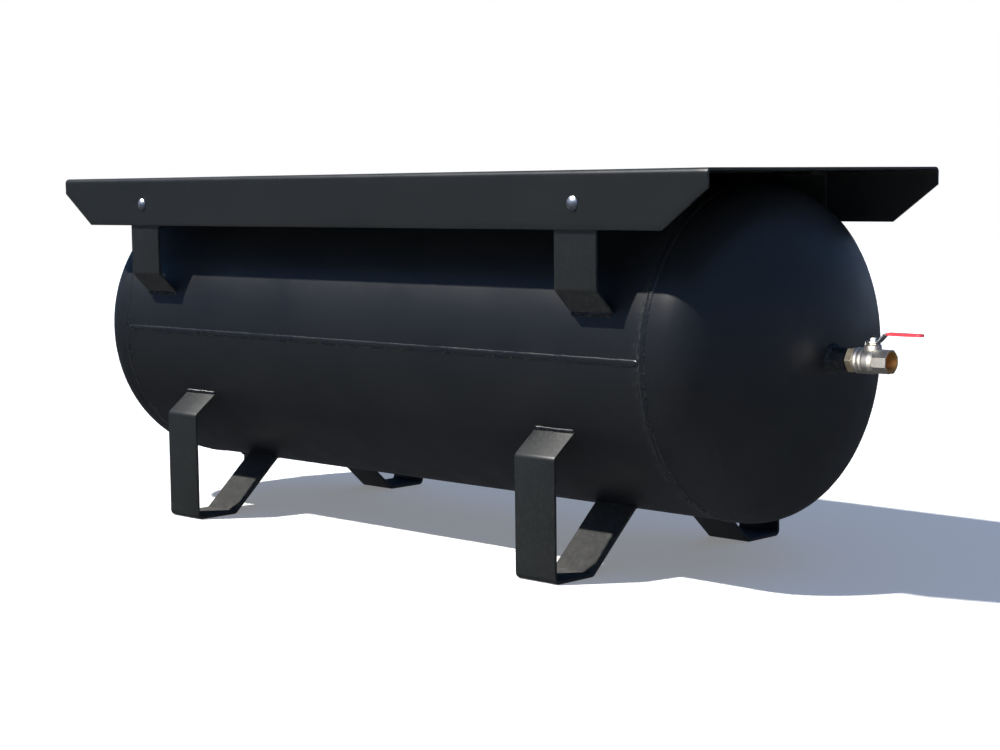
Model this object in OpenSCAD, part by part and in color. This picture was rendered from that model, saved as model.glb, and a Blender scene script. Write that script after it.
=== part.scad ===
// Horizontal air receiver with a flat deck, strap feet and an outlet ball valve.
// Millimetres. X runs along the vessel towards the valve, Z is up, the feet stand on Z = 0.

/* [Vessel] */
// Outside diameter of the vessel
vessel_d = 500; // [410:1:610]
// Length of the rolled shell between its two girth seams
shell_l = 1232; // [1000:1:1500]
// Thickness of the shell and of both heads
vessel_wall = 5; // [3:0.5:8]
// Straight skirt of each head before its curve begins
skirt_l = 18; // [12:1:30]
// Crown radius of the heads, as a share of the vessel diameter
crown_share = 0.8; // [0.75:0.01:1]
// Knuckle radius of the heads, as a share of the vessel diameter
knuckle_share = 0.154; // [0.1:0.002:0.16]
// Clear height between the vessel's belly and the ground
ground_gap = 77; // [60:1:100]

/* [Deck] */
// Length by which the deck runs past each girth seam
deck_past = 141; // [80:1:200]
// Distance of the flanges' outer faces beyond the vessel's sides
deck_side = 30.5; // [22:0.5:60]
// Clear height between the vessel's top and the deck's underside
deck_gap = 18; // [10:1:60]
// Depth of the deck's flanges
flange_h = 84; // [70:1:110]
// Thickness of the deck sheet
deck_t = 4; // [2:0.5:6]
// Inside radius of the deck's two bends
deck_bend_r = 4; // [2:0.5:8]
// Height of the upright part of each flange end
flange_end_h = 27; // [15:1:40]
// Run of the slanted cut at each flange end
flange_cut_l = 80; // [40:1:120]

/* [Straps] */
// Width of the flat bar of feet and brackets
strap_w = 80; // [60:1:100]
// Thickness of the flat bar
strap_t = 5; // [4:0.5:8]
// Inside radius of every bend in the flat bar
strap_bend_r = 5; // [4:0.5:8]
// Distance of the feet's middles from the girth seams
foot_inset = 188; // [120:1:260]
// Distance of the feet's upright faces beyond the vessel's sides
foot_side = 21; // [12:1:45]
// Width of the sole between its two bends
sole_w = 84; // [60:1:110]
// Depth of a foot's upper bend below the vessel's centre line
foot_drop = 142; // [120:1:170]
// Slope of the tab that runs from the upper bend to the shell
tab_slope = 37.6; // [20:0.1:50]
// Slope of the leg that runs from the sole to the shell
leg_slope = 42.5; // [35:0.1:55]
// Distance of the brackets' middles from the girth seams
bracket_inset = 100; // [60:1:170]
// Height of a bracket's lower bend above the vessel's centre line
bracket_rise = 102; // [75:1:120]
// Slope of the bracket's leg, down and in to the shell
bracket_slope = 44; // [25:0.1:60]
// Length of the seat that each bracket turns in under the deck
bracket_seat_l = 42; // [25:1:60]

/* [Welds] */
// Gap between a strap's or socket's end and the curved plate it is welded to
root_gap = 0.3; // [0.1:0.05:0.6]
// Leg of the fillet welds along the straps
strap_weld = 5; // [3:0.5:8]
// Half width of the seam beads
bead_half = 5.5; // [3:0.5:8]
// Height of the seam beads over the plate
bead_h = 1.6; // [0.8:0.1:3]
// Angle of the lengthwise seam above the centre line
seam_angle = 0.4; // [-20:0.1:20]

/* [Deck bolts] */
// Thread diameter of the deck bolts
bolt_d = 8; // [6:1:10]
// Diameter of the domed bolt head
bolt_head_d = 20.6; // [16:0.1:25]
// Height of the domed bolt head
bolt_head_h = 4.8; // [3:0.1:7]
// Length of the bolt under its head
bolt_l = 25; // [22:1:40]
// Distance of the bolts below the deck's upper face
bolt_drop = 47; // [40:1:60]
// Clearance of the bolts in their holes, on the radius
bolt_clear = 0.5; // [0.3:0.05:1]

/* [Pipe sockets] */
// Bore of the pipe threads, at the crests of the inside thread
thread_bore = 24.12; // [20:0.01:30]
// Running clearance between an inside and an outside thread, on the radius
thread_clear = 0.06; // [0.04:0.01:0.12]
// Outside diameter of a welding socket
socket_d = 33; // [31:0.5:42]
// Length of a welding socket beyond the head
socket_out = 27; // [20:1:45]
// Leg of the fillet weld around a socket
socket_weld = 7; // [4:0.5:9]
// Distance of the drain from the left girth seam
drain_inset = 40; // [36:1:200]
// Length of the drain socket below the shell
drain_out = 22; // [16:1:34]
// Width across flats of the drain plug
plug_af = 30; // [28:1:40]
// Height of the drain plug's hexagon
plug_h = 9; // [6:1:14]

/* [Valve] */
// Depth of the pipe threads in the valve's two ends
thread_depth = 14; // [10:0.5:18]
// Length of plain port between the inlet thread and the ball
inlet_run = 8; // [7:0.5:14]
// Length of plain port between the ball and the outlet thread
outlet_run = 2; // [1:0.5:8]
// Width across flats of the valve's ends
valve_af = 33; // [31:0.5:42]
// Wall of the valve's round body around the ball chamber
body_wall = 3; // [2.2:0.1:6]
// Diameter of the ball
ball_d = 30; // [27:0.5:31]
// Bore through the ball and its seats
port_d = 19; // [15:0.5:20]
// Clearance around the ball
ball_clear = 0.2; // [0.15:0.05:0.4]
// Diameter of the stem
stem_d = 8; // [7:0.5:9]
// Clearance around the stem, on the radius
stem_clear = 0.08; // [0.04:0.01:0.1]
// Thread diameter at the stem's top
stem_top_d = 6; // [5:0.5:7]
// Height of the lever's hub above the top of the ball
hub_rise = 11; // [10.5:0.5:15]
// Reach of the lever from the stem
lever_reach = 80.5; // [70:0.5:120]
// Rise of the lever's arm above its hub
lever_rise = 12; // [8:0.5:20]
// Thickness of the lever
lever_t = 2.2; // [1.8:0.1:3]
// Width of the lever's arm
lever_w = 13; // [10:0.5:16]
// Wall of the lever's soft grip
grip_wall = 0.8; // [0.6:0.1:2]

/* [Hidden] */
$fn = 96;

// Points per bend of a strap or of the deck sheet
bend_steps = 10;
// Length by which a cutting shape runs past what it cuts
past = 1;

// Depth that the flat underside of the lengthwise bead lies below the shell's crown line
bead_sink = 0.1;

// Vessel
vessel_r = vessel_d / 2;
shell_half = shell_l / 2;
axis_h = ground_gap + vessel_r;
belly_h = ground_gap;
crown_r = crown_share * vessel_d;
knuckle_r = knuckle_share * vessel_d;
crown_drop = sqrt(pow(crown_r - knuckle_r, 2) - pow(vessel_r - knuckle_r, 2));
head_depth = crown_r - crown_drop;
apex_x = shell_half + skirt_l + head_depth;
knuckle_angle = atan2(vessel_r - knuckle_r, crown_drop);

// Sockets and valve, all on the vessel's centre line
socket_r = socket_d / 2;
socket_end_x = apex_x + socket_out;
bore_r = thread_bore / 2;
collar_l = 3;
valve_x = socket_end_x + collar_l;
ball_r = ball_d / 2;
stem_x = thread_depth + inlet_run + ball_r;
valve_l = stem_x + ball_r + outlet_run + thread_depth;
valve_end_x = valve_x + valve_l;
stem_pos = valve_x + stem_x;
lever_end_x = stem_pos + lever_reach;

// The origin lies under the middle of the whole length, from the inlet socket to the lever's tip
left_end_x = -socket_end_x;
right_end_x = max(valve_end_x, lever_end_x + grip_wall);
mid_x = (left_end_x + right_end_x) / 2;
drain_x = drain_inset - shell_half - mid_x;

// Deck
deck_l = shell_l + 2 * deck_past;
deck_w = vessel_d + 2 * deck_side;
deck_under = axis_h + vessel_r + deck_gap;
deck_h = deck_under + deck_t;
flange_inside = deck_w / 2 - deck_t;
bolt_h = deck_h - bolt_drop;
neck = bolt_d + 0.5;

// Feet and brackets
foot_x = shell_half - foot_inset;
foot_y = vessel_r + foot_side;
foot_bend_h = axis_h - foot_drop;
bracket_x = shell_half - bracket_inset;
bracket_bend_h = axis_h + bracket_rise;

// Nuts and washers of the deck bolts
washer_d = 2 * bolt_d;
washer_t = 1.6;
nut_af = 1.625 * bolt_d;
nut_h = 0.8 * bolt_d;

// Valve chamber
chamber_r = ball_r + 0.6;
valve_r = chamber_r + body_wall;
seat_r = ball_r - 1;
seat_back = ball_r - 0.5;
seat_front = 0.53 * ball_r;
seat_gap = 0.1;
joint_x = stem_x - ball_r - 10;
joint_gap = 0.2;
joint_thread = 0.6;
barrel_end = stem_x - seat_back + 3.5;
hub_h = ball_r + hub_rise;

// Outside of the valve body: ribs, as start and end from the body's face, and the grooves between
octagon_l = thread_depth + 10;
neck_start = ball_r + 16;
ribs = [[1.2, 4], [8.6, 12], [16.6, neck_start - 5]];
groove_depth = 1.2;
rib_slope = 1.6;
neck_inset = 2;

// Valve stem and bonnet
stem_r = stem_d / 2;
collar_r = stem_r + 2;
collar_bottom = ball_r + ball_clear;
collar_top = collar_bottom + 1.6;
thrust_t = 0.6;
thrust_top = collar_top + thrust_t + 0.1;
bonnet_r = 9.5;
bonnet_top = hub_h - 3.2;
packing_r = bonnet_r - 3;
packing_bottom = thrust_top + 1.4;
packing_top = bonnet_top - 1.7;
gland_hex_top = hub_h - 0.4;
stem_top = hub_h + lever_t + 7.4;
stem_flat = 0.75 * stem_top_d;

// Lever hub, stop tab and stop collar
hub_r = 10;
stop_in = bonnet_r + 0.3;
stop_out = stop_in + 2.4;
stop_h = 7.6;
tab_h = 6;
tab_w = 6;
tab_half = asin(tab_w / 2 / stop_in);
stop_play = 2;
quarter = 90;

// ---------------------------------------------------------------- bent strips

function unit(v) = v / norm(v);
function left_of(v) = [-v[1], v[0]];
function turn_at(p, i) = let(a = unit(p[i] - p[i - 1]), b = unit(p[i + 1] - p[i]))
    atan2(a[0] * b[1] - a[1] * b[0], a * b);

// Radii of the two faces of a strip at a bend: the drawn face, then the face t to its left
function face_r(turn, r, t) = turn > 0 ? r + t : r;
function back_r(turn, r, t) = turn > 0 ? r : r + t;

// Points of one bend, on the drawn face (back = false) or on the other face (back = true)
function bend_points(p, i, r, t, back) =
    let(
        turn = turn_at(p, i),
        side = turn > 0 ? 1 : -1,
        rf = face_r(turn, r, t),
        start = p[i] - unit(p[i] - p[i - 1]) * rf * tan(abs(turn) / 2),
        centre = start + left_of(unit(p[i] - p[i - 1])) * side * rf,
        spoke = unit(start - centre),
        ru = back ? back_r(turn, r, t) : rf
    )
    [for (k = [0:bend_steps]) let(a = turn * k / bend_steps)
        centre + ru * [spoke[0] * cos(a) - spoke[1] * sin(a), spoke[0] * sin(a) + spoke[1] * cos(a)]];

function face_points(p, r, t, back) =
    let(n = len(p), shift = back ? t : 0)
    concat(
        [p[0] + left_of(unit(p[1] - p[0])) * shift],
        [for (i = [1:n - 2]) each bend_points(p, i, r, t, back)],
        [p[n - 1] + left_of(unit(p[n - 1] - p[n - 2])) * shift]
    );

function backwards(list) = [for (i = [len(list) - 1:-1:0]) list[i]];

// Outline of sheet or bar of thickness t, bent along p; p is one face and t lies to its left
module bent_strip(p, r, t) {
    polygon(concat(face_points(p, r, t, false), backwards(face_points(p, r, t, true))));
}

// Stands a profile drawn in (Y, Z) up at x, running w along X and centred there
module along_x(x, w) {
    translate([x - w / 2, 0, 0]) rotate([90, 0, 90]) linear_extrude(w) children();
}

// The same, mirrored to the rear (side = 1) or left in front (side = -1)
module on_side(side) {
    mirror([0, side > 0 ? 1 : 0, 0]) children();
}

// Puts a shape drawn along Z onto the vessel's centre line, pointing to +X from x
module on_axis(x) {
    translate([x - mid_x, 0, axis_h]) rotate([0, 90, 0]) children();
}

module vessel_profile(extra) {
    translate([0, axis_h]) circle(vessel_r + extra, $fn = 720);
}

// ---------------------------------------------------------------- vessel

module shell() {
    color("#26292c")
    difference() {
        on_axis(-shell_half) difference() {
            cylinder(h = shell_l, r = vessel_r, $fn = 180);
            translate([0, 0, -past]) cylinder(h = shell_l + 2 * past, r = vessel_r - vessel_wall, $fn = 180);
        }
        translate([drain_x, 0, 0]) cylinder(h = axis_h, r = socket_r + root_gap);
    }
}

// Half section of a head: radius along X, height along Y, skirt below zero
module head_section(inset) {
    square([vessel_r - inset, 0.001 + skirt_l]);
    translate([0, skirt_l]) {
        translate([vessel_r - knuckle_r, 0]) intersection() {
            circle(knuckle_r - inset);
            polygon([[0, 0], [vessel_r, 0], [vessel_r, vessel_r * 2],
                     [sin(knuckle_angle), cos(knuckle_angle)] * vessel_r * 2]);
        }
        intersection() {
            translate([0, -crown_drop]) circle(crown_r - inset, $fn = 360);
            polygon([[0, 0], [vessel_r - knuckle_r, 0],
                     [vessel_r - knuckle_r, 0] + [sin(knuckle_angle), cos(knuckle_angle)] * vessel_r,
                     [0, vessel_r]]);
        }
    }
}

module head_plate() {
    difference() {
        rotate_extrude($fn = 180) difference() {
            head_section(0);
            translate([0, -past]) square([vessel_r - vessel_wall, past + 0.0005]);
            head_section(vessel_wall);
        }
        translate([0, 0, skirt_l]) cylinder(h = head_depth + past, r = socket_r + root_gap);
    }
}

module right_head() {
    color("#1f2530") on_axis(shell_half) head_plate();
}

module left_head() {
    color("#26292c") mirror_about_middle() on_axis(shell_half) head_plate();
}

// Mirrors a shape from the right end of the vessel to the left end
module mirror_about_middle() {
    translate([-mid_x, 0, 0]) mirror([1, 0, 0]) translate([mid_x, 0, 0]) children();
}

// Low round bead drawn at the origin, its flat side on Y = 0
module bead_section() {
    bead_r = (pow(bead_half, 2) + pow(bead_h, 2)) / (2 * bead_h);
    difference() {
        translate([0, bead_h - bead_r]) circle(bead_r, $fn = 64);
        translate([-bead_r - past, -2 * bead_r]) square([2 * (bead_r + past), 2 * bead_r]);
    }
}

module girth_weld() {
    on_axis(shell_half) rotate_extrude($fn = 180)
        translate([vessel_r, 0]) rotate(-90) bead_section();
}

module right_girth_weld() {
    color("#2a2d30") girth_weld();
}

module left_girth_weld() {
    color("#2a2d30") mirror_about_middle() girth_weld();
}

module seam_weld() {
    seam_l = shell_l - 2 * (bead_half + 1);
    color("#303336")
    along_x(-mid_x, seam_l) difference() {
        translate([0, axis_h]) rotate(90 - seam_angle) translate([0, vessel_r - bead_sink]) bead_section();
        vessel_profile(0);
    }
}

// ---------------------------------------------------------------- deck

deck_path = [[-deck_w / 2, deck_h - flange_h], [-deck_w / 2, deck_h],
             [deck_w / 2, deck_h], [deck_w / 2, deck_h - flange_h]];

// Slanted cut at both ends of both flanges, drawn in (X, Z)
module flange_cut() {
    polygon([[deck_l / 2 - flange_cut_l, deck_h - flange_h], [deck_l / 2, deck_h - flange_end_h],
             [deck_l / 2 + past, deck_h - flange_end_h], [deck_l / 2 + past, deck_h - flange_h - past],
             [deck_l / 2 - flange_cut_l, deck_h - flange_h - past]]);
}

module deck() {
    color("#24272a")
    difference() {
        along_x(-mid_x, deck_l) bent_strip(backwards(deck_path), deck_bend_r, deck_t);
        for (end = [0, 1])
            translate([-mid_x, deck_w, 0]) mirror([end, 0, 0])
                rotate([90, 0, 0]) linear_extrude(2 * deck_w) flange_cut();
        at_deck_bolts() cube([neck + 2 * bolt_clear, 4 * deck_t, neck + 2 * bolt_clear], center = true);
    }
}

// ---------------------------------------------------------------- feet and brackets

// Unit vectors of the sloping parts, seen from the front side with the vessel at +Y
tab_way = [cos(tab_slope), sin(tab_slope)];
leg_way = [cos(leg_slope), sin(leg_slope)];
bracket_way = [cos(bracket_slope), -sin(bracket_slope)];

// Distance along w from p to the vessel's surface
function to_vessel(p, w) = let(q = [p[0], p[1] - axis_h], b = q * w)
    -b - sqrt(max(0, b * b - q * q + vessel_r * vessel_r));

foot_top = [-foot_y, foot_bend_h];
foot_heel = [-foot_y, 0];
foot_toe = [-foot_y + sole_w, 0];
tab_l = to_vessel(foot_top, tab_way);
leg_l = to_vessel(foot_toe, leg_way);

// Outer face of a front foot, from the tab over the upright and the sole to the leg
foot_path = [foot_top + tab_way * (tab_l + strap_t), foot_top, foot_heel, foot_toe,
             foot_toe + leg_way * (leg_l + 2 * strap_t)];

module foot_strip() {
    difference() {
        bent_strip(foot_path, strap_bend_r, strap_t);
        vessel_profile(root_gap);
    }
}

bracket_y = flange_inside;
bracket_low = [-bracket_y, bracket_bend_h];
bracket_high = [-bracket_y, deck_under];
bracket_leg_l = to_vessel(bracket_low, bracket_way);

// Outer face of a front bracket, from its seat over the upright to the leg
bracket_path = [[-bracket_y + bracket_seat_l, deck_under], bracket_high, bracket_low,
                bracket_low + bracket_way * (bracket_leg_l + 2 * strap_t)];

module bracket_strip() {
    difference() {
        bent_strip(bracket_path, max(strap_bend_r, deck_bend_r + 0.5), strap_t);
        vessel_profile(root_gap);
    }
}

module foot(end, side) {
    color("#2b2e31") on_side(side) along_x(end * foot_x - mid_x, strap_w) foot_strip();
}

module bracket(end, side) {
    color("#2b2e31")
    difference() {
        on_side(side) along_x(end * bracket_x - mid_x, strap_w) bracket_strip();
        at_deck_bolts() rotate([90, 0, 0]) cylinder(h = 60, r = bolt_d / 2 + bolt_clear, center = true);
    }
}

module front_left_foot() { foot(-1, -1); }
module front_right_foot() { foot(1, -1); }
module rear_left_foot() { foot(-1, 1); }
module rear_right_foot() { foot(1, 1); }
module front_left_bracket() { bracket(-1, -1); }
module front_right_bracket() { bracket(1, -1); }
module rear_left_bracket() { bracket(-1, 1); }
module rear_right_bracket() { bracket(1, 1); }

// Half plane on the strap's side of its outer face; kept = 1 or -1 picks the side that is cut
module face_side(p, way, kept) {
    translate(p) rotate(atan2(way[1], way[0]))
        translate([-8 * strap_weld, kept > 0 ? 0 : -16 * strap_weld]) square(16 * strap_weld);
}

// Fillet bead in the corner between the vessel and the outer face of a strap that ends at p
module corner_bead(p, way, kept) {
    difference() {
        translate(p) circle(strap_weld, $fn = 32);
        vessel_profile(0);
        face_side(p, way, kept);
    }
}

module foot_welds() {
    color("#3a3d40")
    for (end = [-1, 1], side = [-1, 1])
        on_side(side) {
            along_x(end * foot_x - mid_x, strap_w) corner_bead(foot_top + tab_way * tab_l, tab_way, -1);
            along_x(end * foot_x - mid_x, strap_w) corner_bead(foot_toe + leg_way * leg_l, leg_way, 1);
        }
}

module bracket_welds() {
    color("#3a3d40")
    for (end = [-1, 1], side = [-1, 1])
        on_side(side) along_x(end * bracket_x - mid_x, strap_w)
            corner_bead(bracket_low + bracket_way * bracket_leg_l, bracket_way, 1);
}

// ---------------------------------------------------------------- deck bolts

// Repeats a shape at the four bolts: origin on the flange's outer face, +Y into the deck
module at_deck_bolts() {
    for (end = [-1, 1], side = [-1, 1])
        translate([end * bracket_x - mid_x, side * deck_w / 2, bolt_h])
            mirror([0, side > 0 ? 1 : 0, 0]) children();
}

module deck_bolts() {
    head_ball_r = (pow(bolt_head_d / 2, 2) + pow(bolt_head_h, 2)) / (2 * bolt_head_h);
    color("#c9ccd0")
    at_deck_bolts() {
        rotate([90, 0, 0]) rotate_extrude() intersection() {
            translate([0, bolt_head_h - head_ball_r]) circle(head_ball_r);
            square([bolt_head_d / 2, bolt_head_h]);
        }
        translate([-neck / 2, 0, -neck / 2]) cube([neck, deck_t - 0.5, neck]);
        rotate([-90, 0, 0]) cylinder(h = bolt_l, r = bolt_d / 2);
    }
}

module deck_washers() {
    color("#b9bdc1")
    at_deck_bolts() translate([0, deck_t + strap_t, 0]) rotate([-90, 0, 0]) difference() {
        cylinder(h = washer_t, r = washer_d / 2);
        translate([0, 0, -past]) cylinder(h = washer_t + 2 * past, r = bolt_d / 2 + 0.2);
    }
}

module deck_nuts() {
    color("#b9bdc1")
    at_deck_bolts() translate([0, deck_t + strap_t + washer_t, 0]) rotate([-90, 0, 0]) difference() {
        cylinder(h = nut_h, r = nut_af / 2 / cos(30), $fn = 6);
        translate([0, 0, -past]) cylinder(h = nut_h + 2 * past, r = bolt_d / 2 + thread_clear);
    }
}

// ---------------------------------------------------------------- sockets

// Pipe socket drawn along Z, with its threaded bore right through
module socket(below, above) {
    difference() {
        translate([0, 0, -below]) cylinder(h = below + above, r = socket_r);
        translate([0, 0, -below - past]) cylinder(h = below + above + 2 * past, r = bore_r);
    }
}

// Fillet ring around a socket that stands on a plate curved with radius plate_r, top at Z = 0
module head_weld() {
    rotate_extrude() difference() {
        polygon([[socket_r, -4], [socket_r, socket_weld], [socket_r + socket_weld / 3, socket_weld * 0.55],
                 [socket_r + socket_weld, -0.2], [socket_r + socket_weld, -4]]);
        translate([0, -crown_r]) circle(crown_r, $fn = 360);
    }
}

module outlet_socket() {
    color("#1c2026") on_axis(apex_x) socket(vessel_wall, socket_out);
}

module outlet_socket_weld() {
    color("#2a2d33") on_axis(apex_x) head_weld();
}

module inlet_socket() {
    color("#1c2026") mirror_about_middle() on_axis(apex_x) socket(vessel_wall, socket_out);
}

module inlet_socket_weld() {
    color("#2a2d33") mirror_about_middle() on_axis(apex_x) head_weld();
}

module drain_socket() {
    color("#1c2026") translate([drain_x, 0, belly_h]) rotate([180, 0, 0]) socket(vessel_wall, drain_out);
}

module drain_socket_weld() {
    color("#2a2d33")
    difference() {
        translate([drain_x, 0, belly_h]) rotate([180, 0, 0]) rotate_extrude()
            polygon([[socket_r, -4], [socket_r, socket_weld], [socket_r + socket_weld, 0],
                     [socket_r + socket_weld, -4]]);
        on_axis(-shell_half) cylinder(h = shell_l, r = vessel_r, $fn = 180);
    }
}

module drain_plug() {
    color("#9a9486")
    translate([drain_x, 0, belly_h - drain_out]) {
        translate([0, 0, -plug_h]) cylinder(h = plug_h, r = plug_af / 2 / cos(30), $fn = 6);
        cylinder(h = 0.7 * drain_out, r = bore_r - thread_clear);
    }
}

module outlet_nipple() {
    thread_r = bore_r - thread_clear;
    reach = thread_depth - 1;
    color("#3b3f45")
    on_axis(socket_end_x) difference() {
        union() {
            translate([0, 0, -reach]) cylinder(h = 2 * reach + collar_l, r = thread_r);
            cylinder(h = collar_l, r = bore_r + 2.6);
        }
        translate([0, 0, -reach - past]) cylinder(h = 2 * (reach + past) + collar_l, r = bore_r - 3.4);
    }
}

// ---------------------------------------------------------------- ball valve

// Everything of the valve is drawn along Z from the inlet end, then laid onto the centre line
module valve_body() {
    color("#c3bfb4")
    difference() {
        union() {
            on_axis(valve_x) {
                rotate_extrude() body_outline();
                translate([0, 0, valve_l - octagon_l]) rotate(22.5)
                    cylinder(h = octagon_l, r = valve_af / 2 / cos(22.5), $fn = 8);
            }
            translate([stem_pos - mid_x, 0, axis_h]) {
                cylinder(h = bonnet_top, r = bonnet_r);
                stop_collar();
            }
        }
        on_axis(valve_x) body_hollow();
        translate([stem_pos - mid_x, 0, axis_h]) {
            cylinder(h = thrust_top, r = collar_r + 0.3);
            cylinder(h = bonnet_top + past, r = stem_r + stem_clear);
            translate([0, 0, packing_bottom]) cylinder(h = hub_h, r = packing_r);
        }
    }
}

// Half section of the round body with its ribs, radius along X
module body_outline() {
    start = joint_x + joint_gap;
    waist = valve_r - groove_depth;
    neck_end = valve_l - octagon_l + neck_inset;
    polygon(concat(
        [[0, start]],
        [for (rib = ribs) each [[waist, start + max(0, rib[0] - rib_slope)], [valve_r, start + rib[0]],
                                [valve_r, start + rib[1]], [waist, start + rib[1] + rib_slope]]],
        [[waist, start + neck_start], [valve_af / 2 - neck_inset, neck_end], [0, neck_end]]
    ));
}

// Hollow of the body: joint thread, ball chamber, outlet seat pocket, port and outlet thread
module body_hollow() {
    cylinder(h = barrel_end + joint_gap, r = chamber_r + joint_thread);
    cylinder(h = stem_x + seat_front + 3, r = chamber_r);
    cylinder(h = stem_x + seat_back + seat_gap, r = seat_r + seat_gap);
    cylinder(h = valve_l, r = port_d / 2);
    translate([0, 0, valve_l - thread_depth]) cylinder(h = thread_depth + past, r = bore_r);
}

// Raised arc on the body that stops the lever's tab at both ends of its quarter turn
module stop_collar() {
    first = 180 + tab_half + stop_play;
    last = 360 + quarter - tab_half - stop_play;
    translate([0, 0, bonnet_top - 0.4 - stop_h]) rotate(first)
        rotate_extrude(angle = last - first) translate([bonnet_r - 1, 0]) square([stop_out - bonnet_r + 1, stop_h]);
}

module valve_end_piece() {
    color("#cbbf9a")
    on_axis(valve_x) difference() {
        union() {
            cylinder(h = joint_x, r = valve_af / 2 / cos(30), $fn = 6);
            cylinder(h = barrel_end, r = chamber_r + joint_thread - thread_clear);
        }
        translate([0, 0, -past]) cylinder(h = thread_depth + past, r = bore_r);
        cylinder(h = barrel_end + past, r = port_d / 2);
        translate([0, 0, stem_x - seat_back - seat_gap]) cylinder(h = ball_r, r = seat_r + seat_gap);
    }
}

// Seat ring drawn on the inlet side of a ball at the origin
module seat_ring() {
    difference() {
        translate([0, 0, -seat_back]) cylinder(h = seat_back - seat_front, r = seat_r);
        translate([0, 0, -seat_back - past]) cylinder(h = seat_back, r = port_d / 2);
        sphere(ball_r + ball_clear);
    }
}

module inlet_seat() {
    color("#f2f2ee") on_axis(stem_pos) seat_ring();
}

module outlet_seat() {
    color("#f2f2ee") on_axis(stem_pos) mirror([0, 0, 1]) seat_ring();
}

slot_w = 5;
slot_h = 4.2;

module ball() {
    color("#d8dade")
    translate([stem_pos - mid_x, 0, axis_h]) difference() {
        sphere(ball_r);
        rotate([0, 90, 0]) cylinder(h = 2 * ball_d, r = port_d / 2, center = true);
        translate([-slot_w / 2, -ball_d, ball_r - slot_h]) cube([slot_w, 2 * ball_d, 2 * slot_h]);
    }
}

module stem() {
    color("#c9b37a")
    translate([stem_pos - mid_x, 0, axis_h]) {
        intersection() {
            translate([-slot_w / 2 + 0.2, -collar_r, ball_r - slot_h + 0.3])
                cube([slot_w - 0.4, 2 * collar_r, slot_h]);
            cylinder(h = collar_top, r = collar_r);
        }
        translate([0, 0, collar_bottom]) cylinder(h = collar_top - collar_bottom, r = collar_r);
        translate([0, 0, collar_bottom]) cylinder(h = hub_h - collar_bottom, r = stem_r);
        intersection() {
            translate([0, 0, hub_h - past]) cylinder(h = stem_top - hub_h + past, r = stem_top_d / 2);
            translate([-stem_top_d, -stem_flat / 2, 0]) cube([2 * stem_top_d, stem_flat, stem_top]);
        }
    }
}

// Flat ring around the stem, from z0 to z1
module stem_ring(z0, z1, inner, outer) {
    translate([stem_pos - mid_x, 0, axis_h + z0]) difference() {
        cylinder(h = z1 - z0, r = outer);
        translate([0, 0, -past]) cylinder(h = z1 - z0 + 2 * past, r = inner);
    }
}

module stem_washer() {
    color("#f2f2ee") stem_ring(collar_top, collar_top + thrust_t, stem_r + stem_clear, collar_r);
}

module stem_packing() {
    color("#f2f2ee") stem_ring(packing_bottom, packing_top, stem_r + stem_clear, packing_r - 0.1);
}

module gland_nut() {
    color("#cbbf9a")
    difference() {
        union() {
            stem_ring(packing_top, bonnet_top, stem_r + stem_clear, packing_r - thread_clear);
            translate([stem_pos - mid_x, 0, axis_h + bonnet_top])
                cylinder(h = gland_hex_top - bonnet_top, r = packing_r / cos(30) + 0.6, $fn = 6);
        }
        translate([stem_pos - mid_x, 0, axis_h]) cylinder(h = hub_h, r = stem_r + stem_clear);
    }
}

// ---------------------------------------------------------------- lever

// Underside of the lever in (X, Z) from the hub to the tip, the stem at X = 0
lever_bend = hub_r + 0.4;
lever_path = [[lever_reach, lever_rise], [lever_bend + lever_rise, lever_rise], [lever_bend, 0], [-hub_r, 0]];
lever_bend_r = 2;

// Outline of the lever seen from above: round hub, straight arm, round tip
module lever_plan(grow) {
    half = lever_w / 2 + grow;
    circle(hub_r + grow);
    translate([0, -half]) square([lever_reach - half + grow, 2 * half]);
    translate([lever_reach - half + grow, 0]) circle(half);
}

// Side view of the lever, thickened by grow on both faces, extruded across
module lever_side(grow) {
    lowered = [for (q = lever_path) q + [0, -grow]];
    rotate([90, 0, 0]) linear_extrude(6 * lever_w, center = true)
        bent_strip(backwards(lowered), lever_bend_r, lever_t + 2 * grow);
}

module lever() {
    color("#b4b8bd")
    translate([stem_pos - mid_x, 0, axis_h + hub_h]) difference() {
        union() {
            intersection() {
                lever_side(0);
                translate([0, 0, -past]) linear_extrude(lever_rise + 3 * lever_t) lever_plan(0);
            }
            stop_tab();
        }
        stem_hole();
    }
}

// Tab that hangs from the back of the hub and runs between the ends of the stop collar
module stop_tab() {
    intersection() {
        translate([-stop_out - past, -tab_w / 2, -tab_h]) cube([stop_out, tab_w, tab_h + lever_t]);
        translate([0, 0, -tab_h]) difference() {
            cylinder(h = tab_h + lever_t, r = stop_out);
            translate([0, 0, -past]) cylinder(h = tab_h + past, r = stop_in);
        }
    }
}

// Two-flat hole that fits over the stem's top
module stem_hole() {
    intersection() {
        translate([0, 0, -past]) cylinder(h = lever_t + 2 * past, r = stem_top_d / 2 + stem_clear);
        translate([-stem_top_d, -stem_flat / 2 - stem_clear, -past])
            cube([2 * stem_top_d, stem_flat + 2 * stem_clear, lever_t + 2 * past]);
    }
}

module lever_nut() {
    color("#c9ccd0")
    translate([stem_pos - mid_x, 0, axis_h + hub_h + lever_t]) difference() {
        cylinder(h = 0.85 * stem_top_d, r = 0.835 * stem_top_d / cos(30), $fn = 6);
        translate([0, 0, -past]) cylinder(h = 2 * stem_top_d, r = stem_top_d / 2 + thread_clear);
    }
}

module lever_grip() {
    grip_start = lever_bend + lever_rise + 3;
    color("#c2202c")
    translate([stem_pos - mid_x, 0, axis_h + hub_h + lever_rise]) difference() {
        grip_slab(grip_start, grip_wall, -grip_wall, lever_t + grip_wall);
        grip_slab(grip_start - past, 0.05, -0.05, lever_t + 0.05);
    }
}

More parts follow.
